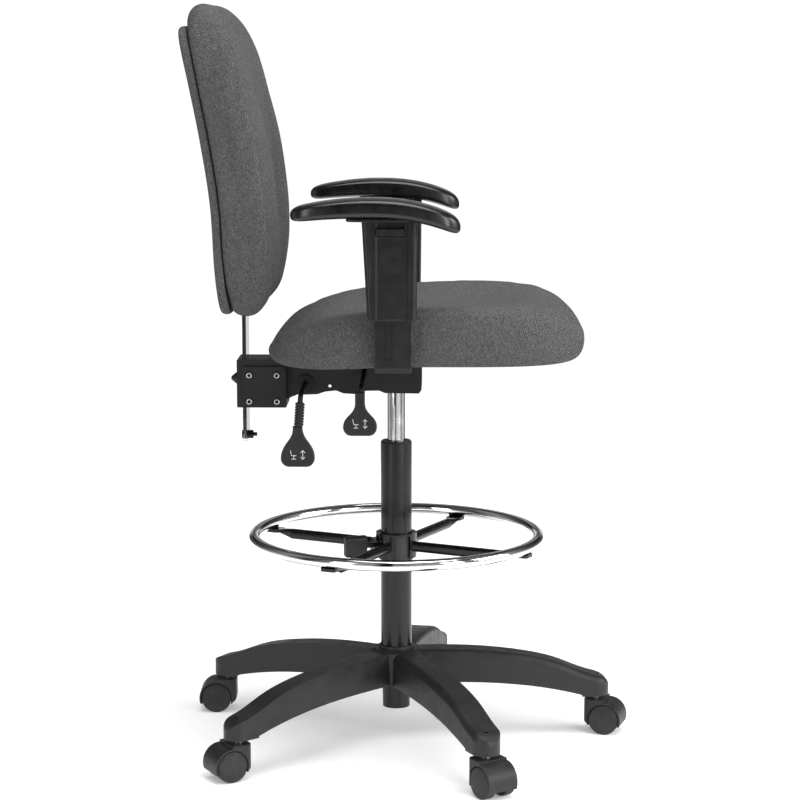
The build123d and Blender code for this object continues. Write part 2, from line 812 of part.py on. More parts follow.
def block_bolt_places():
    """Y and Z of the four socket screws in each side of the bar block."""
    return [(y, z) for y in (233, 189) for z in (601.5, 559.5)]


def make_bar_block():
    """Clamp block that guides the back bar, drilled at the rear for the hand knob."""
    with BuildPart() as block:
        with BuildSketch(Plane.YZ):
            with Locations(((BLOCK_FRONT + BLOCK_REAR) / 2, (BLOCK_BOTTOM + BLOCK_TOP) / 2)):
                Rectangle(BLOCK_REAR - BLOCK_FRONT, BLOCK_TOP - BLOCK_BOTTOM)
        extrude(amount=BLOCK_HALF_WIDTH, both=True)
        fillet(block.edges().filter_by(Axis.X), radius=2)
        with Locations((0, BAR_FRONT + BAR_THICKNESS / 2, BLOCK_BOTTOM)):
            Box(
                2 * (BAR_HALF_WIDTH + SLIDING),
                BAR_THICKNESS + 2 * SLIDING,
                200,
                mode=Mode.SUBTRACT,
            )
        with BuildSketch(Plane.XZ.offset(-BLOCK_REAR - 1)):
            with Locations((0, PIVOT_Z)):
                Circle(SHAFT_RADIUS + RUNNING)
        extrude(amount=12, mode=Mode.SUBTRACT)
        for y, z in block_bolt_places():
            for side in (-1, 1):
                with BuildSketch(Plane.YZ.offset(side * (BLOCK_HALF_WIDTH + 1))):
                    with Locations((y, z)):
                        Circle(3)
                extrude(amount=-side * 15, mode=Mode.SUBTRACT)
    return block.part


def make_block_plates():
    """Two steel side plates with the lower front corner cut off."""
    front = BLOCK_FRONT + 0.5
    rear = BLOCK_REAR - 8
    with BuildPart() as plates:
        for side in (-1, 1):
            with BuildSketch(Plane.YZ.offset(side * BLOCK_HALF_WIDTH)):
                Polygon(
                    (front, 564),
                    (front + 10, 551),
                    (rear, 551),
                    (rear, 615),
                    (front + 3, 615),
                    (front, 608),
                    align=None,
                )
                with Locations(*block_bolt_places()):
                    Circle(3.05, mode=Mode.SUBTRACT)
            extrude(amount=side * PLATE_THICKNESS)
    return plates.part


def make_block_bolts():
    """Eight socket-head screws through the side plates into the block."""
    seat = BLOCK_HALF_WIDTH + PLATE_THICKNESS
    with BuildPart() as bolts:
        for side in (-1, 1):
            with BuildSketch(Plane.YZ.offset(side * seat)):
                with Locations(*block_bolt_places()):
                    Circle(5.2)
            extrude(amount=side * 4)
            with BuildSketch(Plane.YZ.offset(side * (seat + 4))):
                with Locations(*block_bolt_places()):
                    RegularPolygon(2.8, 6)
            extrude(amount=-side * 2.5, mode=Mode.SUBTRACT)
            with BuildSketch(Plane.YZ.offset(side * seat)):
                with Locations(*block_bolt_places()):
                    Circle(2.98)
            extrude(amount=-side * 16)
    return bolts.part


def make_back_knob():
    """Three-lobed hand knob whose stud grips the back bar."""
    face = BLOCK_REAR + 0.6
    with BuildPart() as knob:
        with BuildSketch(Plane.XZ.offset(-BAR_FRONT - BAR_THICKNESS - 0.8)):
            with Locations((0, PIVOT_Z)):
                Circle(SHAFT_RADIUS)
        extrude(amount=-16)
        with BuildSketch(Plane.XZ.offset(-face)):
            with Locations((0, PIVOT_Z)):
                Circle(9)
                with PolarLocations(8.5, 3, start_angle=90):
                    Circle(5)
        extrude(amount=-11)
        fillet(knob.faces().sort_by(Axis.Y)[-1].edges(), radius=1.5)
    return knob.part


def make_back_bar():
    """Chromed flat bar that carries the back, with a hole for its stop bolt."""
    with BuildPart() as bar:
        with BuildSketch(Plane.XY.offset(BAR_BOTTOM)):
            with Locations((0, BAR_FRONT + BAR_THICKNESS / 2)):
                Rectangle(2 * BAR_HALF_WIDTH, BAR_THICKNESS)
        extrude(amount=BAR_TOP - BAR_BOTTOM)
        fillet(bar.edges().filter_by(Axis.Y), radius=5)
        with BuildSketch(Plane.XZ.offset(-BAR_FRONT - BAR_THICKNESS - 1)):
            with Locations((0, STOP_BOLT_Z)):
                Circle(3.05)
        extrude(amount=10, mode=Mode.SUBTRACT)
    return bar.part


def make_bar_stop_bolt():
    """Bolt and nut through the bar's foot that stop it from leaving the block."""
    rear = BAR_FRONT + BAR_THICKNESS
    with BuildPart() as bolt:
        for start, length, size in ((rear + 4, 4, 7), (BAR_FRONT, 8, 7)):
            with BuildSketch(Plane.XZ.offset(-start)):
                with Locations((0, STOP_BOLT_Z)):
                    RegularPolygon(size, 6)
            extrude(amount=length)
        with BuildSketch(Plane.XZ.offset(-rear - 2)):
            with Locations((0, STOP_BOLT_Z)):
                Circle(3)
        extrude(amount=22)
    return bolt.part


def back_outline(half_width, bottom, top, corner):
    """Front-view outline of a back layer, extruded through its whole depth."""
    with BuildPart() as outline:
        with BuildSketch(Plane.XZ.offset(-150)):
            with Locations((0, (bottom + top) / 2)):
                RectangleRounded(2 * half_width, top - bottom, corner)
        extrude(amount=-220)
    return outline.part


def back_layer(inner, outer, half_width, bottom, top, corner):
    """Sheet that follows the back's rear line between two offsets behind it."""
    rise = [(250, bottom - 40)] + REAR_LINE + [(322, 1200)]
    outline = back_outline(half_width, bottom, top, corner)
    with BuildPart() as layer:
        with BuildSketch(Plane.YZ):
            with BuildLine():
                Spline(*[(y + inner, z) for y, z in rise])
                Line((322 + inner, 1200), (322 + outer, 1200))
                Spline(*[(y + outer, z) for y, z in reversed(rise)])
                Line((250 + outer, bottom - 40), (250 + inner, bottom - 40))
            make_face()
        extrude(amount=half_width, both=True)
        add(outline, mode=Mode.INTERSECT)
    return layer.part


def make_back_board():
    """Moulded plywood board inside the back."""
    return back_layer(-8, 0, 185, 725, 1130, 60)


def make_back_panel():
    """Upholstered rear panel that closes the back behind the bar and board."""
    return back_layer(1, 13, 203, 710, 1149, 70)


def make_back_cushion(board, panel):
    """Foam back, thickest at the lumbar and thin at the top, hollowed for the board and bar."""
    front = [(232, 694), (200, 716), (180, 780), (175, 862), (184, 945), (206, 1045), (232, 1130)]
    crown = [(232, 1130), (258, 1176), (290, 1187), (314, 1172), (312, 1147)]
    rear = [(y, z) for y, z in reversed(REAR_LINE)]
    outline = back_outline(BACK_HALF_WIDTH, BACK_BOTTOM, BACK_TOP, 95)
    with BuildPart() as cushion:
        with BuildSketch(Plane.YZ):
            with BuildLine():
                Spline(*front, *crown[1:])
                Spline(crown[-1], *rear[1:])
                Line(rear[-1], front[0])
            make_face()
        extrude(amount=BACK_HALF_WIDTH, both=True)
        add(outline, mode=Mode.INTERSECT)
        add(board, mode=Mode.SUBTRACT)
        add(panel, mode=Mode.SUBTRACT)
        with BuildSketch(Plane.XY.offset(BACK_BOTTOM - 5)):
            with Locations((0, BAR_FRONT + BAR_THICKNESS / 2 + 2)):
                Rectangle(2 * BAR_HALF_WIDTH + 0.4, BAR_THICKNESS + 4)
        extrude(amount=BAR_TOP - BACK_BOTTOM + 6, mode=Mode.SUBTRACT)
    return cushion.part


def make_arm_bracket(side):
    """Steel strip bolted under the board and bent up beside the seat, with a grooved face."""
    inner = ARM_X - POST_THICKNESS / 2
    outer = ARM_X + POST_THICKNESS / 2
    under = BOARD_BOTTOM - BRACKET_THICKNESS
    with BuildPart() as bracket:
        with BuildSketch(Plane.XZ.offset(-ARM_Y)):
            with BuildLine():
                Polyline((outer, POST_TOP), (inner, POST_TOP), (inner, under + 10))
                RadiusArc((inner, under + 10), (inner - 4, BOARD_BOTTOM), 4)
                Polyline((inner - 4, BOARD_BOTTOM), (115, BOARD_BOTTOM), (115, under), (outer - 10, under))
                RadiusArc((outer - 10, under), (outer, under + 10), -10)
                Line((outer, under + 10), (outer, POST_TOP))
            make_face()
        extrude(amount=POST_WIDTH / 2, both=True)
        with Locations((outer, ARM_Y + 6.5, 683)):
            Box(3, 11, 56, mode=Mode.SUBTRACT)
        with Locations(*[(x, y, under) for x, y in bolt_places()[-2:]]):
            Cylinder(SHAFT_RADIUS, 40, mode=Mode.SUBTRACT)
        fillet(bracket.edges().filter_by(Axis.X).group_by(Axis.Z)[-1], radius=6)
        if side < 0:
            mirror(about=Plane.YZ, mode=Mode.REPLACE)
    return bracket.part


def make_arm_sleeve(side):
    """Moulded sleeve that slides on the bracket, with the pad's plate and the latch window."""
    half = SLEEVE_THICKNESS / 2
    with BuildPart() as sleeve:
        with BuildSketch(Plane.YZ.offset(ARM_X)):
            with BuildLine():
                Polyline(
                    (-37, SLEEVE_BOTTOM),
                    (37, SLEEVE_BOTTOM),
                    (45, SLEEVE_TOP),
                    (-38, SLEEVE_TOP),
                    (-37, SLEEVE_BOTTOM),
                )
            make_face()
        extrude(amount=half, both=True)
        corners = sleeve.edges().filter_by(lambda e: abs(e.tangent_at(0.5).Z) > 0.9)
        fillet(corners, radius=5)
        with BuildSketch(Plane.XY.offset(SLEEVE_TOP)):
            with Locations((PAD_X, 19)):
                RectangleRounded(58, 98, 10)
        extrude(amount=4)
        with Locations((ARM_X, ARM_Y, (SLEEVE_BOTTOM + SLEEVE_TOP) / 2 - 2)):
            Box(
                POST_THICKNESS + 2 * SLIDING,
                POST_WIDTH + 2 * SLIDING,
                SLEEVE_TOP - SLEEVE_BOTTOM,
                mode=Mode.SUBTRACT,
            )
        with Locations((ARM_X + half - 2.3, 3.5, 852.5)):
            Box(4.7, 43, 23, mode=Mode.SUBTRACT)
        with Locations((ARM_X + half - 5, 3.5, 846.8)):
            Box(12, 43, 11.6, mode=Mode.SUBTRACT)
        if side < 0:
            mirror(about=Plane.YZ, mode=Mode.REPLACE)
    return sleeve.part


def make_arm_button(side):
    """Latch button in the sleeve's window."""
    with BuildPart() as button:
        with Locations((ARM_X + SLEEVE_THICKNESS / 2 - 2.2, 3.5, 846.8)):
            Box(5, 42.2, 10.8)
        fillet(button.faces().sort_by(Axis.X)[-1].edges(), radius=1.2)
        if side < 0:
            mirror(about=Plane.YZ, mode=Mode.REPLACE)
    return button.part


def make_arm_pad(side):
    """Arched, self-skinned foam pad with rounded ends."""
    bottom = SLEEVE_TOP + 4
    rear_tip = 150.0
    front_tip = -101.0
    with BuildPart() as pad:
        with BuildSketch(Plane.YZ):
            with BuildLine():
                Spline(
                    (rear_tip, 876),
                    (130, 890),
                    (60, 898),
                    (-10, 899),
                    (-60, 889),
                    (front_tip, 862),
                    tangents=[(0, 1), (-0.35, -1)],
                )
                Spline((front_tip, 862), (-92, 851), (-60, 857), (-30, bottom))
                Polyline((-30, bottom), (138, bottom))
                RadiusArc((138, bottom), (rear_tip, 876), -12)
            make_face()
        extrude(amount=400, both=True)
        with BuildSketch(Plane.XY.offset(840)):
            with Locations((PAD_X, (rear_tip + front_tip) / 2)):
                RectangleRounded(2 * PAD_HALF_WIDTH, rear_tip - front_tip, 32)
        extrude(amount=70, mode=Mode.INTERSECT)
        if side < 0:
            mirror(about=Plane.YZ, mode=Mode.REPLACE)
    return pad.part


def save_arms():
    """Write both arms; the right arm is on -X."""
    for name, side in (("right", -1), ("left", 1)):
        save(make_arm_bracket(side), f"{name}_arm_bracket")
        save(make_arm_sleeve(side), f"{name}_arm_sleeve")
        save(make_arm_button(side), f"{name}_arm_button")
        save(make_arm_pad(side), f"{name}_arm_pad")


save(make_base_star(), "base_star")
save(make_column_tube(), "column_tube")
save(make_guide_bush(), "guide_bush")
save(make_thrust_bearing(), "thrust_bearing")
save(make_piston_rod(), "piston_rod")
save(make_gas_cylinder(), "gas_cylinder")
save(make_valve_pin(), "valve_pin")
save_casters()
save(make_footring(), "footring")
save(make_footring_frame(), "footring_frame")
save(make_footring_liner(), "footring_liner")
save(make_footring_knob(), "footring_knob")
save(make_seat_board(), "seat_board")
save(make_seat_cushion(), "seat_cushion")
save(make_seat_bolts(), "seat_bolts")
save(make_mechanism_housing(), "mechanism_housing")
save(make_pivot_pin(), "pivot_pin")
save(make_recline_spring(), "recline_spring")
save(make_gas_lever(), "gas_lever")
save(make_gas_paddle(), "gas_paddle")
save(make_back_lever(), "back_lever")
save(make_boot(), "back_lever_boot")
save(make_back_paddle(), "back_paddle")
save(make_back_arm(), "back_arm")
save(make_bar_block(), "bar_block")
save(make_block_plates(), "block_plates")
save(make_block_bolts(), "block_bolts")
save(make_back_knob(), "back_knob")
save(make_back_bar(), "back_bar")
save(make_bar_stop_bolt(), "bar_stop_bolt")
back_board = make_back_board()
save(back_board, "back_board")
back_panel = make_back_panel()
save(back_panel, "back_panel")
save(make_back_cushion(back_board, back_panel), "back_cushion")
save_arms()
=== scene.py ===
import json
import math

import bmesh
import bpy
import numpy as np
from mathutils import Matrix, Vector


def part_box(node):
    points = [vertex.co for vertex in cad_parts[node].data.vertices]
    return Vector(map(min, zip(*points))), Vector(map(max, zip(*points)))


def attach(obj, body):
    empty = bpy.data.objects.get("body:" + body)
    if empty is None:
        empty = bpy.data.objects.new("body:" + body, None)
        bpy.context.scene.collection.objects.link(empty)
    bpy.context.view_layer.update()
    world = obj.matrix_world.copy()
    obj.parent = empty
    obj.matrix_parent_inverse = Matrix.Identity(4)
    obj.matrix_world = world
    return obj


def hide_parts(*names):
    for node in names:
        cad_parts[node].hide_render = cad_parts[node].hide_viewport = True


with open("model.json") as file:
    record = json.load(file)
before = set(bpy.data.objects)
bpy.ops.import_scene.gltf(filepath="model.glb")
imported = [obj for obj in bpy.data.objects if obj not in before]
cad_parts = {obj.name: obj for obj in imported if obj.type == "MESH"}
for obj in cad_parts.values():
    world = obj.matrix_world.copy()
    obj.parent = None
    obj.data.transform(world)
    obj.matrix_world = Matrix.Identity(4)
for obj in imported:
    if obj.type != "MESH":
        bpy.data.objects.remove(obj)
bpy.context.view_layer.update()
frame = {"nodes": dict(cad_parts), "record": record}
MM = 0.001
HINGES = {joint["name"]: joint for joint in frame["record"]["behaviour"]["joints"]}


# ---------------------------------------------------------------------------------------------
# Base star. One five-legged moulding in glass-filled nylon, with a fine spark-eroded grain and a
# satin skin that shows faint flow marks and rubbed patches where feet catch it.
# ---------------------------------------------------------------------------------------------
def wire(tree, *pairs):
    """Join sockets in pairs: each pair is (source socket, target socket)."""
    for source, target in pairs:
        tree.links.new(source, target)


def add_node(tree, kind, **values):
    """New shader node with values for its inputs, whose names are written with _ for a space."""
    node = tree.nodes.new(f"ShaderNode{kind}")
    for label, value in values.items():
        node.inputs[label.replace("_", " ")].default_value = value
    return node


def blank_material(name):
    """Material with nodes: itself, its node tree, its shader and a source of object coordinates."""
    material = bpy.data.materials.new(name)
    material.use_nodes = True
    tree = material.node_tree
    return material, tree, tree.nodes["Principled BSDF"], add_node(tree, "TexCoord")


def two_tone(tree, start, dark, end, light):
    """Colour ramp from dark, where its input is at start, to light, where it is at end."""
    ramp = add_node(tree, "ValToRGB")
    for stop, position, colour in zip(ramp.color_ramp.elements, (start, end), (dark, light)):
        stop.position = position
        stop.color = (*colour, 1)
    return ramp


def moulded_plastic(name, shade, scuffed, gloss=0.42, grain=2600.0, depth=0.00005):
    """Injection-moulded plastic. Colour = shade mixed towards scuffed by broad clouds; the skin is fine
    grain in bump, and roughness wanders with the clouds."""
    material, tree, skin, place = blank_material(name)
    clouds = add_node(tree, "TexNoise", Scale=55.0, Detail=6.0)
    tint = two_tone(tree, 0.35, shade, 0.8, scuffed)
    sheen = add_node(tree, "MapRange", From_Min=0.3, From_Max=0.7, To_Min=gloss - 0.06, To_Max=gloss + 0.1)
    grit = add_node(tree, "TexNoise", Scale=grain, Detail=2.0)
    relief = add_node(tree, "Bump", Strength=0.5, Distance=depth)
    wire(
        tree,
        (place.outputs["Object"], clouds.inputs["Vector"]),
        (place.outputs["Object"], grit.inputs["Vector"]),
        (clouds.outputs["Fac"], tint.inputs["Fac"]),
        (clouds.outputs["Fac"], sheen.inputs["Value"]),
        (tint.outputs["Color"], skin.inputs["Base Color"]),
        (sheen.outputs["Result"], skin.inputs["Roughness"]),
        (grit.outputs["Fac"], relief.inputs["Height"]),
        (relief.outputs["Normal"], skin.inputs["Normal"]),
    )
    skin.inputs["Specular IOR Level"].default_value = 0.34
    return material


def finish_node(material, *nodes):
    """Give CAD nodes their finish by filling every material slot they have."""
    for node in nodes:
        for holder in frame["nodes"][node].material_slots:
            holder.material = material


satin_nylon = moulded_plastic("satin_nylon", (0.013, 0.013, 0.0135), (0.020, 0.020, 0.021))
finish_node(satin_nylon, "base_star")


# ---------------------------------------------------------------------------------------------
# Casters. Hooded twin-wheel casters: grey-black nylon hood and wheels, on a bright stem. Each wheel
# is moulded with a rounded tread and a slightly domed outer face with a fine groove round it.
# ---------------------------------------------------------------------------------------------
def turned(name, centre, axis, profile, steps=64):
    """Surface of revolution: point = centre + h * axis + r * (cos a * side + sin a * up), with the
    profile's (h, r) pairs carried round the axis. A profile that ends on r = 0 closes at a pole."""
    along = Vector(axis).normalized()
    side = along.orthogonal().normalized()
    up = along.cross(side)
    along, side, up, centre = (np.array(v) for v in (along, side, up, centre))
    h, r = np.array(profile, dtype=float).T
    angle = np.linspace(0, 2 * np.pi, steps, endpoint=False)
    round_ = np.cos(angle)[:, None] * side + np.sin(angle)[:, None] * up
    points = centre + h[None, :, None] * along + r[None, :, None] * round_[:, None, :]
    return grid_piece(name, points, wraps=(True, False))


def grid_piece(name, points, wraps=(False, False), smooth=True):
    """Mesh from a grid of points (rows, columns, 3). A wrapped direction joins its last line to its
    first; doubled points at poles are merged and the faces turned outwards."""
    rows, columns = points.shape[:2]
    index = np.arange(rows * columns).reshape(rows, columns)
    if wraps[0]:
        index = np.vstack([index, index[:1]])
    if wraps[1]:
        index = np.hstack([index, index[:, :1]])
    quads = np.stack([index[:-1, :-1], index[1:, :-1], index[1:, 1:], index[:-1, 1:]], axis=-1)
    mesh = bpy.data.meshes.new(name)
    mesh.from_pydata(points.reshape(-1, 3).tolist(), [], quads.reshape(-1, 4).tolist())
    shell = bmesh.new()
    shell.from_mesh(mesh)
    bmesh.ops.remove_doubles(shell, verts=shell.verts, dist=1e-6)
    bmesh.ops.recalc_face_normals(shell, faces=shell.faces)
    shell.to_mesh(mesh)
    shell.free()
    mesh.polygons.foreach_set("use_smooth", np.full(len(mesh.polygons), smooth))
    piece = bpy.data.objects.new(name, mesh)
    bpy.context.scene.collection.objects.link(piece)
    return piece


def rounded(corners, radius, steps=6):
    """Profile through corners with each inner corner eased: the two points a radius from it and the
    quadratic curve between them that the corner pulls."""
    corners = np.array(corners, dtype=float)
    t = np.linspace(0, 1, steps)[:, None]
    eased = [corners[:1]]
    for before, corner, after in zip(corners[:-2], corners[1:-1], corners[2:]):
        into = before - corner
        out = after - corner
        reach = min(radius, 0.45 * np.linalg.norm(into), 0.45 * np.linalg.norm(out))
        start = corner + into / np.linalg.norm(into) * reach
        end = corner + out / np.linalg.norm(out) * reach
        eased.append((1 - t) ** 2 * start + 2 * t * (1 - t) * corner + t**2 * end)
    eased.append(corners[-1:])
    return np.vstack(eased)


WHEEL_RADIUS = 25.0 * MM
WHEEL_INNER = 9.5 * MM
WHEEL_OUTER = 26.0 * MM
AXLE_HEIGHT = 25.0 * MM
caster_nylon = moulded_plastic("caster_nylon", (0.012, 0.012, 0.0125), (0.022, 0.022, 0.023), gloss=0.44)
tread_nylon = moulded_plastic("tread_nylon", (0.012, 0.012, 0.0125), (0.032, 0.031, 0.030), gloss=0.5)
wheel_profile = rounded(
    [
        (WHEEL_INNER, 0),
        (WHEEL_INNER, 0.94 * WHEEL_RADIUS),
        (WHEEL_INNER + 1.2 * MM, WHEEL_RADIUS),
        (WHEEL_OUTER - 2 * MM, WHEEL_RADIUS),
        (WHEEL_OUTER, 0.92 * WHEEL_RADIUS),
        (WHEEL_OUTER + 0.1 * MM, 0.86 * WHEEL_RADIUS),
        (WHEEL_OUTER - 0.3 * MM, 0.84 * WHEEL_RADIUS),
        (WHEEL_OUTER + 0.3 * MM, 0.82 * WHEEL_RADIUS),
        (WHEEL_OUTER + 1.0 * MM, 0.4 * WHEEL_RADIUS),
        (WHEEL_OUTER + 1.3 * MM, 0),
    ],
    1.2 * MM,
    4,
)
for number in range(1, 6):
    for hand, facing in (("left", 1), ("right", -1)):
        roll = HINGES[f"caster_{number}_{hand}_roll"]
        body = f"caster_{number}_wheel_{hand}"
        centre = (roll["pos_m"][0], roll["pos_m"][1], AXLE_HEIGHT)
        wheel = turned(f"{body}_moulding", centre, facing * Vector(roll["axis"]), wheel_profile, 72)
        wheel.data.materials.append(tread_nylon)
        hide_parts(body)
        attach(wheel, body)
    finish_node(caster_nylon, f"caster_{number}_hood")


# ---------------------------------------------------------------------------------------------
# Steel pins and shafts. Ground or bright-drawn mild steel with fine lines along the bar.
# ---------------------------------------------------------------------------------------------
def drawn_steel(name, shade, roughness, direction=(1, 1, 0.02)):
    """Bright steel. Noise stretched along the bar by a Mapping node gives drawing lines in colour,
    roughness and bump."""
    material, tree, skin, place = blank_material(name)
    stretch = add_node(tree, "Mapping", Scale=direction)
    lines = add_node(tree, "TexNoise", Scale=900.0, Detail=4.0)
    tint = two_tone(tree, 0.3, [0.82 * c for c in shade], 0.7, shade)
    dull = add_node(tree, "MapRange", To_Min=roughness - 0.06, To_Max=roughness + 0.08)
    relief = add_node(tree, "Bump", Strength=0.25, Distance=0.00002)
    wire(
        tree,
        (place.outputs["Object"], stretch.inputs["Vector"]),
        (stretch.outputs["Vector"], lines.inputs["Vector"]),
        (lines.outputs["Fac"], tint.inputs["Fac"]),
        (lines.outputs["Fac"], dull.inputs["Value"]),
        (lines.outputs["Fac"], relief.inputs["Height"]),
        (tint.outputs["Color"], skin.inputs["Base Color"]),
        (dull.outputs["Result"], skin.inputs["Roughness"]),
        (relief.outputs["Normal"], skin.inputs["Normal"]),
    )
    skin.inputs["Metallic"].default_value = 1.0
    return material


bright_steel = drawn_steel("bright_steel", (0.62, 0.62, 0.63), 0.26)
finish_node(bright_steel, "piston_rod", "valve_pin", "thrust_bearing", "recline_spring")
finish_node(bright_steel, *[f"caster_{number}_pins" for number in range(1, 6)])


# ---------------------------------------------------------------------------------------------
# Column and footring frame. Steel tube and spokes in one coat of semi-gloss black powder, whose
# skin has a slight orange peel and a few dull rubs.
# ---------------------------------------------------------------------------------------------
def powder_coat(name, shade, worn, gloss=0.33, peel=420.0):
    """Baked powder paint. Two noises: a soft one, the peel, moves the surface by a few hundredths of
    a millimetre, and a broad one varies colour and roughness."""
    material, tree, skin, place = blank_material(name)
    rubs = add_node(tree, "TexNoise", Scale=38.0, Detail=8.0, Roughness=0.62)
    tint = two_tone(tree, 0.42, shade, 0.78, worn)
    dull = add_node(tree, "MapRange", From_Min=0.35, From_Max=0.75, To_Min=gloss, To_Max=gloss + 0.14)
    orange = add_node(tree, "TexNoise", Scale=peel, Detail=1.0)
    relief = add_node(tree, "Bump", Strength=0.35, Distance=0.00008)
    wire(
        tree,
        (place.outputs["Object"], rubs.inputs["Vector"]),
        (place.outputs["Object"], orange.inputs["Vector"]),
        (rubs.outputs["Fac"], tint.inputs["Fac"]),
        (rubs.outputs["Fac"], dull.inputs["Value"]),
        (tint.outputs["Color"], skin.inputs["Base Color"]),
        (dull.outputs["Result"], skin.inputs["Roughness"]),
        (orange.outputs["Fac"], relief.inputs["Height"]),
        (relief.outputs["Normal"], skin.inputs["Normal"]),
    )
    skin.inputs["Specular IOR Level"].default_value = 0.36
    return material


column_powder = powder_coat("column_powder", (0.004, 0.004, 0.0041), (0.009, 0.009, 0.0092), gloss=0.18)
bush_nylon = moulded_plastic("bush_nylon", (0.022, 0.022, 0.023), (0.035, 0.035, 0.036), gloss=0.45)
finish_node(column_powder, "column_tube", "footring_frame")
finish_node(bush_nylon, "guide_bush", "footring_liner")


# ---------------------------------------------------------------------------------------------
# Bright plating. Nickel-chrome on the footring, the gas cylinder and the flat back bar: mirror
# bright, with faint polishing haze and a few fingerprints.
# ---------------------------------------------------------------------------------------------
def chrome_plate(name, haze=0.05):
    """Chrome plating. The colour is a pale grey, and roughness rises in soft smudges."""
    material, tree, skin, place = blank_material(name)
    smudge = add_node(tree, "TexNoise", Scale=30.0, Detail=5.0)
    dull = add_node(tree, "MapRange", From_Min=0.45, From_Max=0.75, To_Min=haze, To_Max=haze + 0.12)
    tint = two_tone(tree, 0, (0.74, 0.74, 0.75), 1, (0.86, 0.86, 0.87))
    swirl = add_node(tree, "TexNoise", Scale=1500.0)
    relief = add_node(tree, "Bump", Strength=0.08, Distance=0.00001)
    wire(
        tree,
        (place.outputs["Object"], smudge.inputs["Vector"]),
        (place.outputs["Object"], swirl.inputs["Vector"]),
        (smudge.outputs["Fac"], dull.inputs["Value"]),
        (smudge.outputs["Fac"], tint.inputs["Fac"]),
        (tint.outputs["Color"], skin.inputs["Base Color"]),
        (dull.outputs["Result"], skin.inputs["Roughness"]),
        (swirl.outputs["Fac"], relief.inputs["Height"]),
        (relief.outputs["Normal"], skin.inputs["Normal"]),
    )
    skin.inputs["Metallic"].default_value = 1.0
    return material


bright_chrome = chrome_plate("bright_chrome")
finish_node(bright_chrome, "gas_cylinder", "back_bar")

RING_TUBE = 9.0 * MM
low, high = (np.array(corner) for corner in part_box("footring"))
ring_radius = (high[0] - low[0]) / 2 - RING_TUBE
ring_height = (low[2] + high[2]) / 2


def ring_tube(name, radius, tube, height, turns=256, sides=36):
    """Torus: point = ((radius + tube cos b) cos a, (radius + tube cos b) sin a, height + tube sin b),
    with a round the ring and b round the tube."""
    a = np.linspace(0, 2 * np.pi, turns, endpoint=False)[:, None]
    b = np.linspace(0, 2 * np.pi, sides, endpoint=False)[None, :]
    reach = radius + tube * np.cos(b)
    points = np.stack([reach * np.cos(a), reach * np.sin(a), height + tube * np.sin(b) + 0 * a], axis=-1)
    return grid_piece(name, points, wraps=(True, True))


ring = ring_tube("footring_tube", ring_radius, RING_TUBE, ring_height)
ring.data.materials.append(bright_chrome)
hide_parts("footring")
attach(ring, "footring_slide")


# ---------------------------------------------------------------------------------------------
# Mechanism and back support. Pressed and welded steel in thin black powder coat, a moulded clamp
# block with blackened plates, zinc-plated socket screws, and black oxide levers.
# ---------------------------------------------------------------------------------------------
frame_powder = powder_coat(
    "frame_powder", (0.003, 0.003, 0.0031), (0.007, 0.007, 0.007), gloss=0.42, peel=700.0
)
block_nylon = moulded_plastic("block_nylon", (0.006, 0.006, 0.0062), (0.011, 0.011, 0.0112), gloss=0.46)
knob_nylon = moulded_plastic("knob_nylon", (0.009, 0.009, 0.0092), (0.015, 0.015, 0.0155), gloss=0.46)
black_oxide = drawn_steel("black_oxide", (0.03, 0.03, 0.031), 0.46)
zinc_plate = drawn_steel("zinc_plate", (0.60, 0.60, 0.61), 0.32, (1, 1, 1))
finish_node(frame_powder, "mechanism_housing", "back_arm", "block_plates")
finish_node(frame_powder, "right_arm_bracket", "left_arm_bracket")
finish_node(block_nylon, "bar_block")
finish_node(knob_nylon, "footring_knob", "gas_paddle", "back_paddle")
finish_node(black_oxide, "gas_lever", "back_lever", "seat_bolts", "bar_stop_bolt")
finish_node(black_oxide, "pivot_pin")

SCREW_HEAD = 4.6 * MM
SCREW_SEAT = 3.2 * MM  # how far in from the tip of the CAD head its seat lies
SOCKET_RADIUS = 2.9 * MM
# Inside this radius the socket's faces are painted dark, as painted shade in the recess.
PAINTED_SOCKET_SHADE_RADIUS = 2.72 * MM  # faces nearer to the axis than this are inside the socket
SCREW_PLACES = [(y * MM, z * MM) for y in (233, 189) for z in (601.5, 559.5)]
socket_profile = rounded(
    [
        (0, 0.02 * MM),
        (0, SCREW_HEAD),
        (2.3 * MM, SCREW_HEAD),
        (SOCKET_RADIUS, SCREW_HEAD - 0.7 * MM),
        (SOCKET_RADIUS, 2.7 * MM),
        (0.8 * MM, 2.6 * MM),
        (0.8 * MM, 0.02 * MM),
    ],
    0.3 * MM,
    3,
)
low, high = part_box("block_bolts")
for hand, facing, seat_x in (("near", -1, low[0] + SCREW_SEAT), ("far", 1, high[0] - SCREW_SEAT)):
    for number, (y, z) in enumerate(SCREW_PLACES, start=1):
        screw = turned(f"{hand}_socket_screw_{number}", (seat_x, y, z), (facing, 0, 0), socket_profile, 30)
        screw.data.materials.append(zinc_plate)
        # Painted shade: faces inside each socket get the dark black oxide finish to stand for the shade in
        # the recess.
        screw.data.materials.append(black_oxide)
        places = np.empty(len(screw.data.polygons) * 3)
        screw.data.polygons.foreach_get("center", places)
        painted_socket_shade = np.hypot(places[1::3] - y, places[2::3] - z) < PAINTED_SOCKET_SHADE_RADIUS
        screw.data.polygons.foreach_set("material_index", painted_socket_shade.astype(int))
        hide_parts("block_bolts")
        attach(screw, "back_tilt")

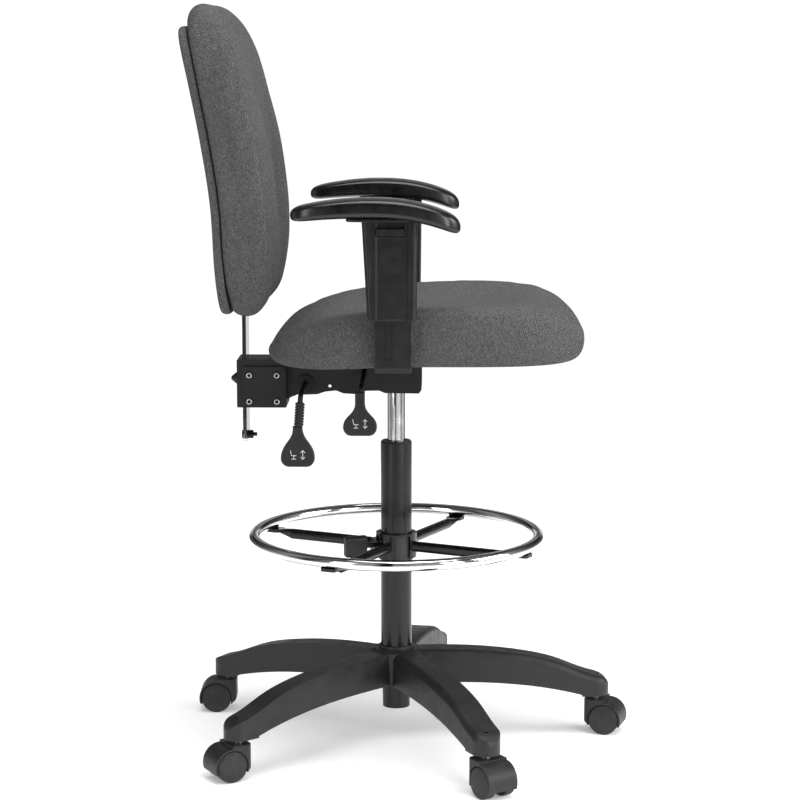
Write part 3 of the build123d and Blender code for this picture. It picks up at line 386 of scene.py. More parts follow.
KNOB_SEAT = 253.0 * MM  # inner end of the knob's head, behind the column
low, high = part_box("back_knob")
knob_middle = ((low[0] + high[0]) / 2, KNOB_SEAT, (low[2] + high[2]) / 2)
knob_reach = high[1] - KNOB_SEAT
knob_profile = rounded(
    [
        (0.4 * MM, 0.5 * MM),
        (0.4 * MM, 9 * MM),
        (2.2 * MM, 10 * MM),
        (0.5 * knob_reach, 7.5 * MM),
        (knob_reach, 2.6 * MM),
        (knob_reach, 0),
    ],
    1.2 * MM,
    5,
)
knob = turned("back_hand_knob", knob_middle, (0, 1, 0), knob_profile, 48)
knob.data.materials.append(knob_nylon)
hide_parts("back_knob")
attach(knob, "back_knob")


def raised_mark(name, start, end, width, face):
    """Raised stroke on an upright face: a slab round the line from start to end, (y, z) pairs, with
    half-round ends. Its rings are the outline at the face and a little way out, closed at both."""
    run = np.array(end) - np.array(start)
    along = run / np.linalg.norm(run)
    across = np.array([-along[1], along[0]])
    turn = np.linspace(-np.pi / 2, np.pi / 2, 9)[:, None]
    head = np.array(end) + width / 2 * (np.cos(turn) * along + np.sin(turn) * across)
    tail = np.array(start) - width / 2 * (np.cos(turn) * along + np.sin(turn) * across)
    outline = np.vstack([head, tail])
    middle = outline.mean(axis=0)
    rings = []
    for size, out in ((0.01, -0.2), (1, -0.2), (1, 0.2), (0.92, 0.3), (0.01, 0.3)):
        plan = middle + size * (outline - middle)
        rings.append(np.column_stack([np.full(len(plan), face - out * MM), plan]))
    return grid_piece(name, np.array(rings).transpose(1, 0, 2), wraps=(True, False), smooth=False)


white_ink = moulded_plastic("white_ink", (0.55, 0.55, 0.54), (0.66, 0.66, 0.65), gloss=0.55)
MARK_WIDTH = 0.9 * MM
MARK_HEIGHT = 19.0 * MM  # above the paddle's foot
UP_DOWN = [
    ((0, -7), (0, 7)), ((0, 7), (-3, 3.6)), ((0, 7), (3, 3.6)),
    ((0, -7), (-3, -3.6)), ((0, -7), (3, -3.6)),
]  # an arrow with two heads, as strokes in millimetres
SEAT_SIGN = [
    ((-3.5, -1), (3.5, -1)), ((-3.5, -1), (-5, 7)), ((0, -1), (0, -6)), ((-3, -6.5), (3, -6.5)),
]  # a small chair in side view
for paddle, lever in (("gas_paddle", "gas_lever"), ("back_paddle", "back_lever")):
    low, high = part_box(paddle)
    sign_y, sign_z = (low[1] + high[1]) / 2, low[2] + MARK_HEIGHT
    marks = [(a, b, 6) for a, b in SEAT_SIGN] + [(a, b, -8) for a, b in UP_DOWN]
    for number, (start, end, shift) in enumerate(marks, start=1):
        ends = [(sign_y + (shift - y) * MM, sign_z + z * MM) for y, z in (start, end)]
        mark = raised_mark(f"{paddle}_mark_{number}", *ends, MARK_WIDTH, low[0])
        mark.data.materials.append(white_ink)
        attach(mark, lever)

boot_rubber = moulded_plastic(
    "boot_rubber", (0.010, 0.010, 0.0105), (0.018, 0.018, 0.018), gloss=0.62, grain=900.0
)
finish_node(boot_rubber, "back_lever_boot")


# ---------------------------------------------------------------------------------------------
# Seat and back boards. Hot-pressed plywood stained black, mostly hidden by the foam.
# ---------------------------------------------------------------------------------------------
def pressed_ply(name, pale, dark):
    """Plywood: a band pattern warped by noise makes the face grain."""
    material, tree, skin, place = blank_material(name)
    stretch = add_node(tree, "Mapping", Scale=(1, 0.08, 1))
    grain = add_node(tree, "TexWave", Scale=60.0, Distortion=6.0, Detail=3.0)
    tint = two_tone(tree, 0, dark, 1, pale)
    relief = add_node(tree, "Bump", Strength=0.3, Distance=0.0001)
    wire(
        tree,
        (place.outputs["Object"], stretch.inputs["Vector"]),
        (stretch.outputs["Vector"], grain.inputs["Vector"]),
        (grain.outputs["Fac"], tint.inputs["Fac"]),
        (grain.outputs["Fac"], relief.inputs["Height"]),
        (tint.outputs["Color"], skin.inputs["Base Color"]),
        (relief.outputs["Normal"], skin.inputs["Normal"]),
    )
    skin.inputs["Roughness"].default_value = 0.62
    return material


stained_ply = pressed_ply("stained_ply", (0.050, 0.046, 0.042), (0.028, 0.026, 0.024))
finish_node(stained_ply, "seat_board", "back_board")


# ---------------------------------------------------------------------------------------------
# Seat cushion. Moulded foam under one stretched cover: a rounded D in plan, dished for the sitter,
# with a soft edge along each side, a waterfall front, and its cover tucked in under the board; a
# painted highlight runs along the upper edge of each side.
# ---------------------------------------------------------------------------------------------
def heathered_cloth(name, shade):
    """Crepe upholstery. Cells of a millimetre or two give the pebbled yarn, one noise the pale and
    dark fibres and a wider one the mottled dye. Bump follows the cells and the fibres. A point
    attribute of the cover paints light and shade into the colour: above 0 the cloth is painted
    lighter, a painted highlight, and below 0 it is painted darker, painted shade."""
    material, tree, skin, place = blank_material(name)
    yarn = add_node(tree, "TexVoronoi", Scale=620.0)
    pebble = add_node(tree, "TexNoise", Scale=330.0, Detail=3.0)
    mottle = add_node(tree, "TexNoise", Scale=105.0, Detail=4.0)
    grain = two_tone(tree, 0.36, [0.54 * c for c in shade], 0.66, [1.52 * c for c in shade])
    dye = add_node(tree, "MapRange", From_Min=0.3, From_Max=0.7, To_Min=0.84, To_Max=1.16)
    gap = add_node(tree, "MapRange", From_Max=0.0012, To_Min=1.12, To_Max=0.82)
    shade_yarn = add_node(tree, "Math")
    shade_yarn.operation = "MULTIPLY"
    tone = add_node(tree, "VectorMath")
    tone.operation = "SCALE"
    # Painted light and shade: the cover's point attribute scales the colour up for a painted highlight and
    # down for painted shade.
    edge = add_node(tree, "Attribute")
    edge.attribute_name = "painted_light_and_shade"
    painted_light_factor = add_node(tree, "Math")
    painted_light_factor.operation = "MULTIPLY_ADD"
    painted_light_factor.inputs[1].default_value = 0.8
    painted_light_factor.inputs[2].default_value = 1.0
    yarn_with_painted_light = add_node(tree, "Math")
    yarn_with_painted_light.operation = "MULTIPLY"
    height = add_node(tree, "Math")
    height.operation = "MULTIPLY_ADD"
    height.inputs[1].default_value = -420.0
    relief = add_node(tree, "Bump", Strength=0.85, Distance=0.00034)
    wire(
        tree,
        (place.outputs["Object"], yarn.inputs["Vector"]),
        (place.outputs["Object"], pebble.inputs["Vector"]),
        (place.outputs["Object"], mottle.inputs["Vector"]),
        (pebble.outputs["Fac"], grain.inputs["Fac"]),
        (mottle.outputs["Fac"], dye.inputs["Value"]),
        (yarn.outputs["Distance"], gap.inputs["Value"]),
        (dye.outputs["Result"], shade_yarn.inputs[0]),
        (gap.outputs["Result"], shade_yarn.inputs[1]),
        (edge.outputs["Fac"], painted_light_factor.inputs[0]),
        (painted_light_factor.outputs["Value"], yarn_with_painted_light.inputs[0]),
        (shade_yarn.outputs["Value"], yarn_with_painted_light.inputs[1]),
        (grain.outputs["Color"], tone.inputs[0]),
        (yarn_with_painted_light.outputs["Value"], tone.inputs["Scale"]),
        (tone.outputs["Vector"], skin.inputs["Base Color"]),
        (yarn.outputs["Distance"], height.inputs[0]),
        (pebble.outputs["Fac"], height.inputs[2]),
        (height.outputs["Value"], relief.inputs["Height"]),
        (relief.outputs["Normal"], skin.inputs["Normal"]),
    )
    skin.inputs["Roughness"].default_value = 0.93
    skin.inputs["Sheen Weight"].default_value = 0.18
    skin.inputs["Sheen Roughness"].default_value = 0.5
    skin.inputs["Specular IOR Level"].default_value = 0.25
    return material


def smooth_line(knots, at):
    """Curve through knots (place, value) by cubic Hermite pieces whose slopes are the mean of their
    neighbours' slopes, read at the given places."""
    x, y = np.array(knots, dtype=float).T
    slopes = np.gradient(y, x)
    at = np.clip(at, x[0], x[-1])
    i = np.clip(np.searchsorted(x, at) - 1, 0, len(x) - 2)
    h = x[i + 1] - x[i]
    t = (at - x[i]) / h
    return (
        (2 * t**3 - 3 * t**2 + 1) * y[i]
        + (t**3 - 2 * t**2 + t) * h * slopes[i]
        + (3 * t**2 - 2 * t**3) * y[i + 1]
        + (t**3 - t**2) * h * slopes[i + 1]
    )


def outline_reach(bearing, across, behind, ahead, power_behind, power_ahead):
    """Distance from the middle of a plan outline to its edge at each bearing, measured from dead ahead:
    (|cos / reach|^power + |sin / across|^power)^(-1 / power), with one reach and power ahead, another
    behind."""
    forward = np.cos(bearing) >= 0
    reach = np.where(forward, ahead, behind)
    power = np.where(forward, power_ahead, power_behind)
    along, aside = np.abs(np.cos(bearing) / reach), np.abs(np.sin(bearing) / across)
    return (along**power + aside**power) ** (-1 / power)


def mesh_points(mesh):
    """Places of a mesh's points, one row each."""
    points = np.empty(len(mesh.vertices) * 3)
    mesh.vertices.foreach_get("co", points)
    return points.reshape(-1, 3)


def apply_modifiers(piece):
    """Give the piece the mesh that its modifiers make, drop them, and return that mesh."""
    graph = bpy.context.evaluated_depsgraph_get()
    old = piece.data
    made = bpy.data.meshes.new_from_object(piece.evaluated_get(graph))
    piece.modifiers.clear()
    piece.data = made
    bpy.data.meshes.remove(old)
    return made


SWELLING_FRAMES = 20
FOAM_PRESSURE = 4.0


def foam_under_pressure(piece, cap, hold, voxel):
    """Stretch the cover over its foam: remesh the shape, let cloth swell under pressure for some
    frames, and keep each point's move under the cap, times hold(points), 0 where it is fixed."""
    remesh = piece.modifiers.new("even_weave", "REMESH")
    remesh.mode = "VOXEL"
    remesh.voxel_size = voxel
    cover = apply_modifiers(piece)
    start = mesh_points(cover)
    cloth = piece.modifiers.new("cover", "CLOTH")
    cloth.settings.use_pressure = True
    cloth.settings.uniform_pressure_force = FOAM_PRESSURE
    cloth.settings.effector_weights.gravity = 0
    cloth.point_cache.frame_start = 1
    cloth.point_cache.frame_end = SWELLING_FRAMES
    for step in range(1, SWELLING_FRAMES + 1):
        bpy.context.scene.frame_set(step)
    graph = bpy.context.evaluated_depsgraph_get()
    end = mesh_points(piece.evaluated_get(graph).to_mesh())
    piece.evaluated_get(graph).to_mesh_clear()
    piece.modifiers.remove(cloth)
    bpy.context.scene.frame_set(1)
    move = end - start
    size = np.linalg.norm(move, axis=1, keepdims=True)
    move *= cap * np.tanh(size / cap) / np.maximum(size, 1e-9)
    start = start + move * hold(start)[:, None]
    cover.vertices.foreach_set("co", start.ravel())
    cover.polygons.foreach_set("use_smooth", np.ones(len(cover.polygons), dtype=bool))
    soften = piece.modifiers.new("soften", "SMOOTH")
    soften.factor = 0.5
    soften.iterations = 2
    return piece


def fine_surface(piece, pale):
    """Subdivide a finished cover once and apply its modifiers. A point attribute then takes pale(points),
    the painted light and shade for the cloth: up to 1, a painted highlight, along an edge of the foam,
    and below 0, painted shade, in a creased hollow."""
    finer = piece.modifiers.new("finer", "SUBSURF")
    finer.levels = 1
    finer.render_levels = 1
    cover = apply_modifiers(piece)
    # Painted light and shade for the cloth, read by its shader.
    painted_light_and_shade = cover.attributes.new("painted_light_and_shade", "FLOAT", "POINT")
    painted_light_and_shade.data.foreach_set("value", pale(mesh_points(cover)))


def eased_edge(outer, inner, low, high, slope, sharp, steps):
    """Rings of (reach, height) up a wall and over its edge: a cubic that leaves (outer, low) straight
    up and meets (inner, high) along the upper face, which rises inwards at the given slope. `sharp` is
    how far its two handles go towards the corner, where those two lines cross."""
    corner = high - slope * (outer - inner)
    reaches = [outer, outer, outer + (1 - sharp) * (inner - outer), inner]
    heights = [low, low + sharp * (corner - low), corner + (1 - sharp) * (high - corner), high]
    for t in np.linspace(0, 1, steps):
        weights = ((1 - t) ** 3, 3 * t * (1 - t) ** 2, 3 * t * t * (1 - t), t**3)
        yield sum(w * r for w, r in zip(weights, reaches)), sum(w * h for w, h in zip(weights, heights))


COVER_CAP = 3.0 * MM  # how far the cloth may swell
SEAT_MIDDLE = -43.0 * MM  # where the seat is widest, from the column
SEAT_BOTTOM = 639.0 * MM
HEM = 0.84  # the cover turns under the board to this part of its outline
SEAT_CREST = [
    (-203, 650), (-186, 665), (-153, 688.5), (-121, 701.5), (-92, 709), (-57, 715.5), (42, 724.5),
    (133, 726.5), (197, 725), (229, 722), (255, 714), (275, 702), (300, 680),
]  # forward place and height of the seat's edge line, in millimetres
cloth_grey = heathered_cloth("cloth_grey", (0.128, 0.128, 0.129))


def seat_top(x, y):
    """Height of the upper face: the edge line's height, less a dish that is deepest on the middle line
    between the hips and the thighs and fades to the front and rear."""
    ahead = -y / MM
    edge = smooth_line(SEAT_CREST, ahead) * MM
    dish = 14.0 * MM * np.exp(-(((ahead - 45) / 150) ** 4))
    side = np.clip(1 - (x / 0.2) ** 2, 0, 1) ** 1.5
    return edge - dish * side


def seat_outlines(bearing):
    """Plan outlines at each bearing: the squarish underside, the widest line and the oval crest."""
    under = outline_reach(bearing, 216 * MM, 231 * MM, 238 * MM, 3.6, 4.0)
    widest = outline_reach(bearing, 238 * MM, 243.5 * MM, 256 * MM, 3.4, 3.3)
    crest = outline_reach(bearing, 228 * MM, 225 * MM, 228 * MM, 1.9, 2.6)
    return under, widest, crest


def seat_shape():
    """Closed cover made of rings about the middle. The three outlines are joined by a superellipse
    quarter below and an eased edge above, crisp along the sides and round at the front and rear. On
    top the rings shrink to the middle; underneath, the hem turns in and the rest lies in the board."""
    bearing = np.linspace(0, 2 * np.pi, 280, endpoint=False)
    under, widest, crest = seat_outlines(bearing)
    side, front = np.sin(bearing), np.cos(bearing)
    ahead, behind = np.clip(front, 0, 1), np.clip(-front, 0, 1)
    sharp = 0.93 - 0.38 * ahead**3 - 0.22 * behind**4
    waist = 0.46 - 0.26 * behind**3
    rings = []

    def ring(reach, height):
        rings.append(np.stack([reach * side, SEAT_MIDDLE - reach * front, height + 0 * reach], axis=-1))

    def top(reach):
        return seat_top(reach * side, SEAT_MIDDLE - reach * front)

    foam_line = (crest * front - SEAT_MIDDLE) / MM
    sag = 6.5 * MM * np.exp(-(((foam_line + 115) / 75) ** 2))
    rim = SEAT_BOTTOM - sag
    for shrink in np.linspace(0, HEM - 0.03, 16):
        ring(shrink * under, SEAT_BOTTOM + 7 * MM)
    for shrink in np.linspace(HEM, 1, 8, endpoint=False):
        ring(shrink * under, SEAT_BOTTOM - sag * (shrink - HEM) / (1 - HEM))
    crest_height = top(crest)
    middle = SEAT_BOTTOM + waist * (crest_height - SEAT_BOTTOM)
    for turn in np.linspace(0, np.pi / 2, 18)[:-1]:
        out = np.sin(turn) ** (2 / 2.2)
        rise = 1 - np.cos(turn) ** (2 / 2.2)
        ring(under + (widest - under) * out, rim + (middle - rim) * rise)
    slope = (top(0.97 * crest) - crest_height) / (0.03 * crest)
    for reach, height in eased_edge(widest, crest, middle, crest_height, slope, sharp, 30):
        ring(reach, height)
    for shrink in np.linspace(1, 0, 50)[1:]:
        ring(shrink * crest, top(shrink * crest))
    return grid_piece("seat_cover", np.array(rings).transpose(1, 0, 2), wraps=(True, False))


def seat_painted_edge_highlight(points):
    """Painted highlight on the cloth: 1 on the line along the foam's upper edge, fading over a few
    millimetres, and absent at the round front and at the rear."""
    x, ahead = points[:, 0], SEAT_MIDDLE - points[:, 1]
    bearing = np.arctan2(x, ahead)
    _, widest, crest = seat_outlines(bearing)
    line_reach = 0.7 * widest + 0.3 * crest
    line_height = seat_top(crest * np.sin(bearing), SEAT_MIDDLE - crest * np.cos(bearing))
    off = np.hypot(np.hypot(x, ahead) - line_reach, points[:, 2] - line_height + 1.0 * MM)
    along = np.clip(1 - np.abs((ahead / MM - 10) / 205), 0, 1) ** 0.5
    return np.exp(-((off / (3.4 * MM)) ** 2)) * along


seat = foam_under_pressure(
    seat_shape(), COVER_CAP, lambda p: np.clip((p[:, 2] - SEAT_BOTTOM) / (40 * MM), 0, 1) ** 2, 4.2 * MM
)
seat.data.materials.append(cloth_grey)
# Painted highlight along the seat's upper edges, carried into the cloth's colour.
fine_surface(seat, seat_painted_edge_highlight)
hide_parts("seat_cushion")
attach(seat, "seat_lift")


# ---------------------------------------------------------------------------------------------
# Back cushion and rear panel. Moulded foam, deepest at the lumbar, with two soft ridges that hold
# the sitter; the rear panel is a thin pad of its own, and a deep tucked seam parts the two.
# ---------------------------------------------------------------------------------------------
BACK_MIDDLE = 932.0 * MM
BACK_ACROSS = 213.0 * MM
BACK_DOWN = 231.0 * MM
BACK_UP = 253.0 * MM
BACK_REAR = [(690, 246), (776, 255), (884, 261.5), (981, 276), (1066, 292.5), (1147, 310), (1187, 318)]
BACK_FRONT = [
    (690, 207), (727, 198.5), (766, 192), (805, 189), (853, 190.5), (914, 196.5), (993, 207),
    (1047, 218.5), (1117, 238), (1150, 252), (1187, 270),
]  # both: height, then depth behind the column, in millimetres


def back_rear(z):
    """Depth of the seam line behind the column at each height."""
    return smooth_line(BACK_REAR, z / MM) * MM


def back_front(x, z):
    """Depth of the front face: the edge line, brought forward by a broad bolster down each side whose
    inner flank drops steeply to the flatter middle. The bolsters fade at the top and bottom."""
    across = np.abs(x) / MM
    rise = np.clip((200 - across) / 78, 0, 1)
    fall = np.clip((122 - across) / 32, 0, 1)
    bolster = rise**2 * (3 - 2 * rise) - 1.75 * fall**2 * (3 - 2 * fall)
    waist = np.exp(-(np.abs((z / MM - 905) / 150) ** 2.2))
    return smooth_line(BACK_FRONT, z / MM) * MM - 10.5 * bolster * waist * MM


def endness(v):
    """0 along the sides and 1 at the top and bottom ends of an outline."""
    return np.clip(np.abs(v) / np.where(v < 0, BACK_DOWN, BACK_UP), 0, 1) ** 5.5


def back_rings(name, outline, rear, front, rear_edge, top_inset, sharp, rows):
    """Closed pad: rings of its front-view outline, following `rear` behind, a rounded wall, and `front`
    ahead. outline holds its half-width, reaches down and up, and powers below and above. rear_edge,
    top_inset and sharp say, at each height v, how far the wall turns in and how crisp its edge is."""
    bearing = np.linspace(0, 2 * np.pi, 280, endpoint=False)
    far = outline_reach(bearing, *outline)
    u, v = far * np.sin(bearing), far * np.cos(bearing)
    edge, inset = rear_edge(v), top_inset(v)
    split = 0.4 + 0.16 * endness(v)
    rings = []

    def ring(scale, depth):
        px, pz = u * scale, BACK_MIDDLE + v * scale
        r, f = rear(px, pz), front(px, pz)
        rings.append(np.stack([px, r + (f - r) * depth, pz], axis=-1))

    for shrink in np.linspace(0, 1, rows, endpoint=False):
        ring(shrink * (1 - edge / far), 0)
    for phi in np.linspace(0, np.pi / 2, 16)[:-1]:
        ring(1 - edge / far * (1 - np.sin(phi) ** 0.9), split * (1 - np.cos(phi) ** 0.9))
    for scale, depth in eased_edge(1 + 0 * far, 1 - inset / far, split, 1.0, 0.0, sharp(v), 26):
        ring(scale, depth)
    for shrink in np.linspace(1, 0, rows * 2)[1:]:
        ring(shrink * (1 - inset / far), 1)
    return grid_piece(name, np.array(rings).transpose(1, 0, 2), wraps=(True, False))


def back_painted_edge_light_and_crease_shade(points):
    """Painted light on the cloth: positive, a painted highlight, on the upright line along each
    bolster's outer edge, and negative, painted shade, in the creased hollow inside it."""
    x, y, z = points.T
    off = np.hypot(np.abs(x) - BACK_ACROSS + 3 * MM, y - back_front(x, z) - 1 * MM)
    along = np.clip(1 - np.abs((z - BACK_MIDDLE + 10 * MM) / (205 * MM)), 0, 1) ** 0.5
    # Painted shade in the creased hollow inside each bolster.
    painted_crease_shade = np.exp(-(((np.abs(x) / MM - 102) / 17) ** 2)) * np.exp(-(np.abs((z / MM - 915) / 150) ** 4))
    on_front = np.clip(1 - (y - back_front(x, z)) / (10 * MM), 0, 1)
    return 0.7 * np.exp(-((off / (4.0 * MM)) ** 2)) * along - 0.42 * painted_crease_shade * on_front


back_shape = back_rings(
    "back_cover", (BACK_ACROSS, BACK_DOWN, BACK_UP, 5.0, 5.6),
    lambda x, z: back_rear(z), back_front,
    lambda v: 6 * MM + np.where(v < 0, 9, 28) * MM * endness(v),
    lambda v: 12 * MM + 30 * MM * endness(v),
    lambda v: 0.93 - 0.38 * endness(v),
    24,
)
back = foam_under_pressure(
    back_shape, COVER_CAP, lambda p: np.clip((back_rear(p[:, 2]) - p[:, 1]) / (30 * MM), 0, 1) ** 2, 4.5 * MM
)
back.data.materials.append(cloth_grey)
# Painted highlight along the back's bolster edges and painted shade inside them, carried into the cloth's
# colour.
fine_surface(back, back_painted_edge_light_and_crease_shade)
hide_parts("back_cushion")
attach(back, "back_rest")

PANEL_GAP = 1.2 * MM
PANEL_DEPTH = 13.5 * MM
panel_shape = back_rings(
    "back_panel_pad", (204 * MM, 222 * MM, 217 * MM, 9, 9),
    lambda x, z: back_rear(z) + PANEL_GAP,
    lambda x, z: back_rear(z) + PANEL_GAP + PANEL_DEPTH,
    lambda v: 4 * MM + 0 * v,
    lambda v: 5 * MM + 0 * v,
    lambda v: 0.62 + 0 * v,
    20,
)
panel_shape.data.materials.append(cloth_grey)
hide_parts("back_panel")
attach(panel_shape, "back_rest")


# ---------------------------------------------------------------------------------------------
# Arms. Each is a fine-grained moulded sleeve on the steel bracket, with a latch button in its
# window, and on its head a flat plate and an arched satin pad of self-skinned foam.
# ---------------------------------------------------------------------------------------------
SLEEVE_X = 257.0 * MM
SLEEVE_HALF = 12.0 * MM
SLEEVE_BOTTOM = 715.0 * MM
SLEEVE_TOP = 864.0 * MM
SLOT_HALF_X = 3.5 * MM
SLOT_HALF_Y = 27.5 * MM
PANEL_EDGE = 22.0 * MM
WINDOW = (-18.2 * MM, 25.2 * MM)
WINDOW_BOTTOM = 840.8 * MM
WINDOW_TOP = 862.5 * MM
WINDOW_DEPTH = 6.75 * MM
PANEL_SINK = 1.1 * MM
FACE_BOW = 1.4 * MM
SLEEVE_CORNER = 6.5 * MM
SLOT_TOP = 855.0 * MM
PLATE_HEIGHT = 4.6 * MM


def arm_sleeve(name, facing):
    """Hollow sleeve as one closed grid. Columns go round the section: the outer face with its sunk
    middle panel and latch window, a corner, the inner face and the other corner. Rows go down the
    outside, in under the rim and up the slot for the bracket."""
    step = 0.25 * MM
    face = np.concatenate([
        np.linspace(-30, -PANEL_EDGE / MM - 1.2, 8) * MM,
        np.array([-PANEL_EDGE, WINDOW[0] - step, WINDOW[0]]),
        np.linspace(WINDOW[0], WINDOW[1], 14)[1:-1],
        np.array([WINDOW[1], WINDOW[1] + step]),
        np.linspace(WINDOW[1] / MM + 1.6, 32, 5) * MM,
    ])
    bend = np.linspace(0, np.pi / 2, 9)

    def section(z):
        high = np.clip((z - SLEEVE_BOTTOM) / (SLEEVE_TOP - SLEEVE_BOTTOM), 0, 1)
        front, rear = -36 * MM - 1.5 * MM * high, 37 * MM + 8.5 * MM * high
        sunk = PANEL_SINK * ((face > -PANEL_EDGE - 0.1 * MM) & (face < PANEL_EDGE + 1.5 * MM))
        in_window = (face >= WINDOW[0]) & (face <= WINDOW[1]) & (WINDOW_BOTTOM < z < WINDOW_TOP)
        bow = FACE_BOW * (1 - np.clip(np.abs(face) / (38 * MM), 0, 1) ** 4)
        outer = SLEEVE_HALF - FACE_BOW + bow - sunk - np.where(in_window, WINDOW_DEPTH, 0)
        shoulder = SLEEVE_HALF - FACE_BOW - SLEEVE_CORNER
        out, turn_in = SLEEVE_CORNER * np.sin(bend), SLEEVE_CORNER * np.cos(bend)
        front_corner = np.stack([shoulder + out, front + SLEEVE_CORNER - turn_in], axis=-1)
        rear_corner = np.stack([shoulder + turn_in, rear - SLEEVE_CORNER + out], axis=-1)
        inside = np.array([
            (-SLEEVE_HALF + 3 * MM, rear), (-SLEEVE_HALF, rear - 3 * MM),
            (-SLEEVE_HALF, front + 3 * MM), (-SLEEVE_HALF + 3 * MM, front),
        ])
        return np.vstack([front_corner, np.stack([outer, face], axis=-1), rear_corner, inside])

    def slot_section(count):
        turn = np.linspace(0, 2 * np.pi, count, endpoint=False) - 0.6 * np.pi
        x = SLOT_HALF_X * np.clip(1.6 * np.cos(turn), -1, 1)
        return np.stack([x, SLOT_HALF_Y * np.clip(1.25 * np.sin(turn), -1, 1)], axis=-1)

    edges = [WINDOW_TOP + step, WINDOW_TOP - step, WINDOW_BOTTOM + step, WINDOW_BOTTOM - step, 836 * MM]
    heights = [SLEEVE_TOP, *edges, *np.linspace(820, 718, 6) * MM]
    rows = [(section(SLEEVE_TOP) * 0.02, SLEEVE_TOP)]
    rows += [(section(z), z) for z in heights]
    rim = section(SLEEVE_BOTTOM)
    across = np.linalg.norm(rim, axis=1, keepdims=True)
    rows.append((rim * (1 - 0.35 * MM / across), SLEEVE_BOTTOM + 1 * MM))
    rows.append((rim * (1 - 1.2 * MM / across), SLEEVE_BOTTOM))
    hollow = slot_section(len(rim))
    rows += [(hollow, SLEEVE_BOTTOM), (hollow, SLOT_TOP), (hollow * 0.02, SLOT_TOP)]
    points = np.array([
        np.stack([facing * (SLEEVE_X + plan[:, 0]), plan[:, 1], np.full(len(plan), z)], axis=-1)
        for plan, z in rows
    ])
    return grid_piece(name, points, wraps=(False, True), smooth=False)


def pad_plate(name, facing):
    """Flat plate on the sleeve's head that the pad is screwed to: rings of a rounded rectangle,
    |x / 29|^7 + |y / 49|^7 = 1 in millimetres, with its edges eased."""
    bearing = np.linspace(0, 2 * np.pi, 96, endpoint=False)
    reach = outline_reach(bearing, 29 * MM, 49 * MM, 49 * MM, 7, 7)
    low = SLEEVE_TOP - 0.8 * MM
    steps = [(0.02, 0), (0.97, 0), (1, 0.2), (1, 0.8), (0.97, 1), (0.02, 1)]
    rings = [
        np.stack([
            facing * PAD_X + reach * size * np.sin(bearing),
            19 * MM - reach * size * np.cos(bearing),
            low + rise * PLATE_HEIGHT + 0 * bearing,
        ], axis=-1)
        for size, rise in steps
    ]
    return grid_piece(name, np.array(rings).transpose(1, 0, 2), wraps=(True, False), smooth=False)


arm_plastic = moulded_plastic("arm_plastic", (0.006, 0.006, 0.0062), (0.009, 0.009, 0.0092), gloss=0.36)
pad_skin = moulded_plastic(
    "pad_skin", (0.003, 0.003, 0.0031), (0.006, 0.006, 0.006), gloss=0.24, grain=1400.0
)
pad_skin.node_tree.nodes["Principled BSDF"].inputs["Specular IOR Level"].default_value = 0.5
finish_node(arm_plastic, "right_arm_button", "left_arm_button")

PAD_X = 262.0 * MM
PAD_HALF_WIDTH = 37.5 * MM
PAD_REAR = 151.0 * MM
PAD_FRONT = -101.0 * MM
PAD_CREST = 882.6  # height of the pad's middle line where it is highest, in millimetres


def arm_pad(name, centre):
    """Closed loft along y. At s from -1, the rear tip, to 1, the front tip, the section is a
    superellipse of half-width w (1 - |s|^6)^0.45 and half-height h (1 - |s|^18)^0.45, with powers 3.6
    and 4.2, boxy enough for a flat top. Its middle line falls from the crest by a square law behind
    and by a power of 2.4 ahead."""
    s = np.sin(np.linspace(-np.pi / 2, np.pi / 2, 120))[:, None]
    b = np.linspace(0, 2 * np.pi, 88, endpoint=False)[None, :]
    y = PAD_REAR + (PAD_FRONT - PAD_REAR) * (s + 1) / 2
    ahead = -y / MM + 35
    drop = np.where(ahead < 0, 0.0008 * ahead**2, 2.164e-4 * np.abs(ahead) ** 2.4)
    thinner_behind = 3.6 * np.clip(-(ahead + 10) / 100, 0, 1) ** 1.3
    half_height = 15.3 - thinner_behind - 1.2 * np.clip(ahead / 130, 0, 1) ** 2
    width = PAD_HALF_WIDTH * (1 - np.abs(s) ** 6) ** 0.45
    height = half_height * MM * (1 - np.abs(s) ** 18) ** 0.45
    cosine, sine = np.cos(b), np.sin(b)
    x = centre + width * np.sign(cosine) * np.abs(cosine) ** (2 / 3.6)
    z = (PAD_CREST - drop) * MM + height * np.sign(sine) * np.abs(sine) ** (2 / 4.2)
    return grid_piece(name, np.stack([x, y + 0 * b, z], axis=-1), wraps=(False, True))


for hand, facing in (("right", -1), ("left", 1)):
    pad = arm_pad(f"{hand}_arm_pad_foam", facing * PAD_X)
    pad.data.materials.append(pad_skin)
    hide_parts(f"{hand}_arm_pad")
    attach(pad, f"{hand}_arm")
    sleeve = arm_sleeve(f"{hand}_arm_sleeve_moulding", facing)
    sleeve.data.materials.append(arm_plastic)
    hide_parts(f"{hand}_arm_sleeve")
    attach(sleeve, f"{hand}_arm")
    plate = pad_plate(f"{hand}_arm_pad_plate", facing)
    plate.data.materials.append(arm_plastic)
    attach(plate, f"{hand}_arm")


# ---------------------------------------------------------------------------------------------
# Studio. Pale floor and plain backdrop, a broad light overhead, a fill in front, two tall boxes on
# the near side and soft skylight. The chrome sees a room with bright and dark bands instead.
# ---------------------------------------------------------------------------------------------
def soft_light(name, place, aim, width, height, watts):
    """Rectangular area light at a place, turned towards its aim."""
    lamp = bpy.data.lights.new(name, "AREA")
    lamp.shape = "RECTANGLE"
    lamp.size = width
    lamp.size_y = height
    lamp.energy = watts
    holder = bpy.data.objects.new(name, lamp)
    holder.location = place
    holder.rotation_euler = (Vector(aim) - Vector(place)).to_track_quat("-Z", "Y").to_euler()
    bpy.context.scene.collection.objects.link(holder)


def grey_ramp(tree, first, last, between):
    """Ramp of greys from its value at 0 to its value at 1, through (position, value) pairs."""
    ramp = add_node(tree, "ValToRGB")
    stops = ramp.color_ramp.elements
    stops[0].color = (first, first, first, 1)
    stops[1].color = (last, last, last, 1)
    for position, value in between:
        stops.new(position).color = (value, value, value, 1)
    return ramp


